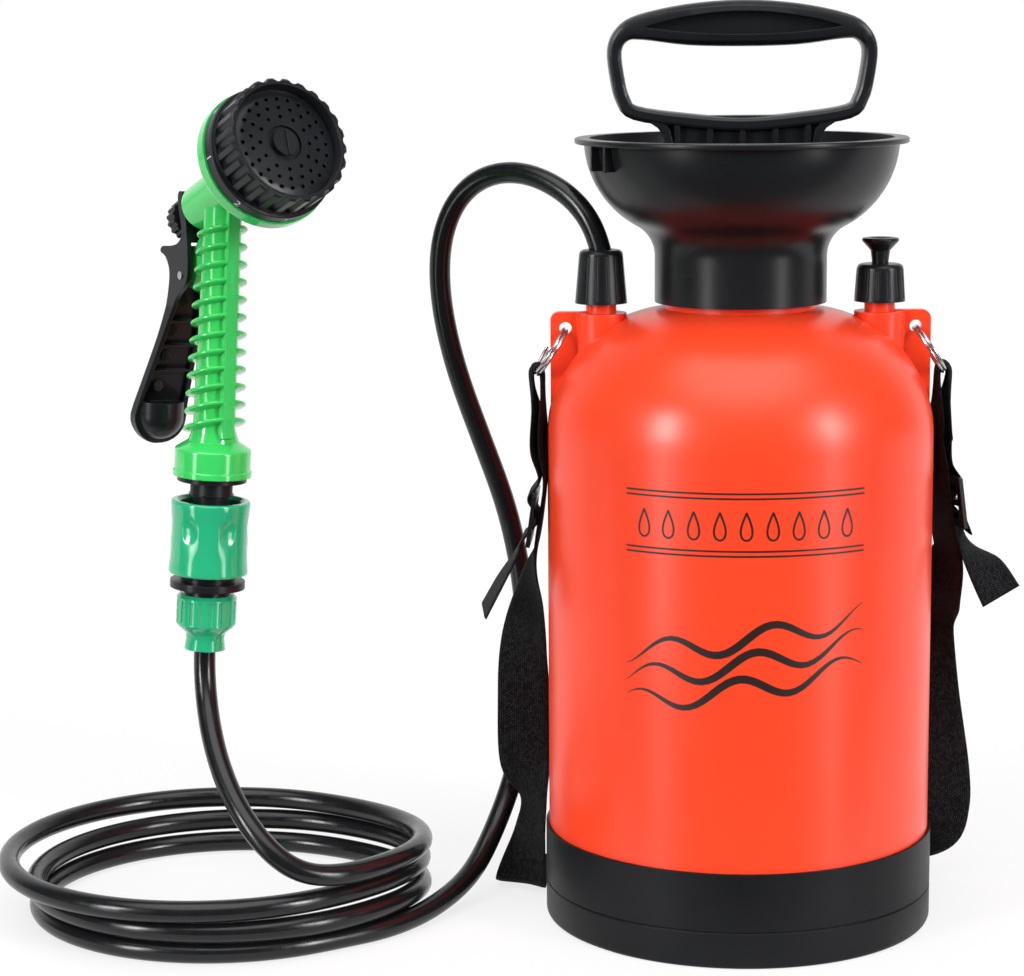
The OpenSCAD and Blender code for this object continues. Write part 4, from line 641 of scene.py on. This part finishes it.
def squeezed_spring(name, joint, body, axis, centre, wire, turns, travel, stays):
    """A helix of round wire where the spring's solid is; the travel is not used."""
    corners = [v.co - centre for v in frame["nodes"][name].data.vertices]
    heights = [axis.dot(c) for c in corners]
    ends = min(heights), max(heights)
    long, wire = ends[1] - ends[0], wire * MM
    coil = max((c - axis * h).length for c, h in zip(corners, heights)) - wire
    side = axis.orthogonal().normalized()
    steps, line = SPRING_STEPS * turns, []
    for i in range(steps + 1):
        a = 2 * math.pi * turns * i / steps
        up = ends[0] + wire + (long - 2 * wire) * i / steps
        line.append(centre + axis * up + coil * (math.cos(a) * side + math.sin(a) * axis.cross(side)))
    piece = as_mesh(round_piece("bent_wire", line, wire, resolution=3), f"{name}_wire")
    place(piece, body, FINISH["steel"])
    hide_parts(name)
    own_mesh(piece)


for facts in SPRINGS:
    squeezed_spring(*facts)


# Floor and studio light

FLOOR_HALF, FLOOR_FRONT = 12, -0.14  # metres
FLOOR_WHITE = 0.78  # share of plain white where the floor is seen or mirrored

# Strips at each side: heading, strength, and brightness by height as (start, stop, low, high)
LEFT_STRIP, LEFT_STRENGTH = math.radians(-50), 5.2
RIGHT_STRIP, RIGHT_STRENGTH = math.radians(52), 5.0
STRIP_HALF, STRIP_SOFT = 5, 2  # degrees
STRIP_HEIGHTS = ((-0.34, -0.26, 0, 1), (0.54, 0.36, 0, 1), (0.02, 0.24, 1, 5.8))
TOP_BOX, TOP_STRENGTH = (0, -0.349, 0.937), 2.9
TOP_HALF, TOP_SOFT = 30, 8  # degrees
BACK_START, BACK_FULL = 0.3, 0.92
DIM_LEVEL, FULL_LEVEL = 0.1, 1.0


def pale_floor():
    half, front = FLOOR_HALF, FLOOR_FRONT
    piece = mesh_piece("floor", [(-half, front, 0), (half, front, 0), (half, half, 0), (-half, half, 0)],
                       [(0, 1, 2, 3)])
    material, tree, shader = surface("white_paper_sweep", {"Base Color": linear("#EFEFEF"), "Roughness": 0.9,
                                                           "Specular IOR Level": 0.1})
    rays = node(tree, "ShaderNodeLightPath").outputs
    shown = node(tree, "ShaderNodeMath", {0: rays["Is Camera Ray"], 1: rays["Is Glossy Ray"]},
                 operation="MAXIMUM")
    shown = node(tree, "ShaderNodeMath", {0: shown.outputs[0], 1: rays["Is Transmission Ray"]},
                 operation="MAXIMUM")
    share = node(tree, "ShaderNodeMath", {0: shown.outputs[0], 1: FLOOR_WHITE}, operation="MULTIPLY")
    paper = node(tree, "ShaderNodeEmission", {"Color": WHITE, "Strength": 1.0})
    mix = node(tree, "ShaderNodeMixShader", {0: share.outputs[0], 1: shader.outputs[0], 2: paper.outputs[0]})
    set_sockets(tree, tree.nodes["Material Output"], {"Surface": mix.outputs[0]})
    piece.data.materials.append(material)


def studio_light():
    """A white room, dim where the camera stands, with a tall narrow soft box at each side of the
    camera, brighter towards its top, and a wide one above."""
    world = bpy.data.worlds.new("studio")
    world.use_nodes = True
    tree = world.node_tree
    at = node(tree, "ShaderNodeTexCoord").outputs["Generated"]
    parts = node(tree, "ShaderNodeSeparateXYZ", {"Vector": at}).outputs
    ground = node(tree, "ShaderNodeVectorMath", {0: at, 1: (1, 1, 0)}, operation="MULTIPLY").outputs[0]
    heading = node(tree, "ShaderNodeVectorMath", {0: ground}, operation="NORMALIZE").outputs[0]
    tall = 1.0
    for start, stop, low, high in STRIP_HEIGHTS:
        ramp = node(tree, "ShaderNodeMapRange", {
            "Value": parts["Z"], "From Min": start, "From Max": stop, "To Min": low, "To Max": high},
            interpolation_type="SMOOTHSTEP")
        tall = node(tree, "ShaderNodeMath", {0: ramp.outputs[0], 1: tall}, operation="MULTIPLY").outputs[0]
    behind = node(tree, "ShaderNodeMapRange", {"Value": parts["Y"], "From Min": BACK_START,
                                               "From Max": BACK_FULL},
                  interpolation_type="SMOOTHSTEP").outputs[0]
    level = node(tree, "ShaderNodeMapRange", {"Value": behind, "To Min": DIM_LEVEL,
                                              "To Max": FULL_LEVEL}).outputs[0]
    left = (math.sin(LEFT_STRIP), -math.cos(LEFT_STRIP), 0)
    right = (math.sin(RIGHT_STRIP), -math.cos(RIGHT_STRIP), 0)
    for way, toward, wide, soft, strength, height in (
            (heading, left, STRIP_HALF, STRIP_SOFT, LEFT_STRENGTH, tall),
            (heading, right, STRIP_HALF, STRIP_SOFT, RIGHT_STRENGTH, tall),
            (at, TOP_BOX, TOP_HALF, TOP_SOFT, TOP_STRENGTH, 1.0)):
        near = node(tree, "ShaderNodeVectorMath", {0: way, 1: toward}, operation="DOT_PRODUCT")
        box = node(tree, "ShaderNodeMapRange", {
            "Value": near.outputs["Value"], "From Min": math.cos(math.radians(wide + soft)),
            "From Max": math.cos(math.radians(wide - soft)), "To Max": strength},
            interpolation_type="SMOOTHSTEP")
        level = node(tree, "ShaderNodeMath", {0: box.outputs[0], 1: height, 2: level},
                     operation="MULTIPLY_ADD").outputs[0]
    rays = node(tree, "ShaderNodeLightPath").outputs
    gloss = node(tree, "ShaderNodeMath", {0: rays["Is Glossy Ray"], 1: behind}, operation="MULTIPLY")
    shown = node(tree, "ShaderNodeMath", {0: rays["Is Camera Ray"], 1: gloss.outputs[0]},
                 operation="MAXIMUM")
    shown = node(tree, "ShaderNodeMath", {0: shown.outputs[0], 1: rays["Is Transmission Ray"]},
                 operation="MAXIMUM")
    seen = node(tree, "ShaderNodeMix", {"Factor": shown.outputs[0], "A": level, "B": 1.0})
    set_sockets(tree, tree.nodes["Background"], {"Color": WHITE, "Strength": seen.outputs["Result"]})
    scene.world = world


pale_floor()
studio_light()
scene.view_settings.view_transform = "Standard"
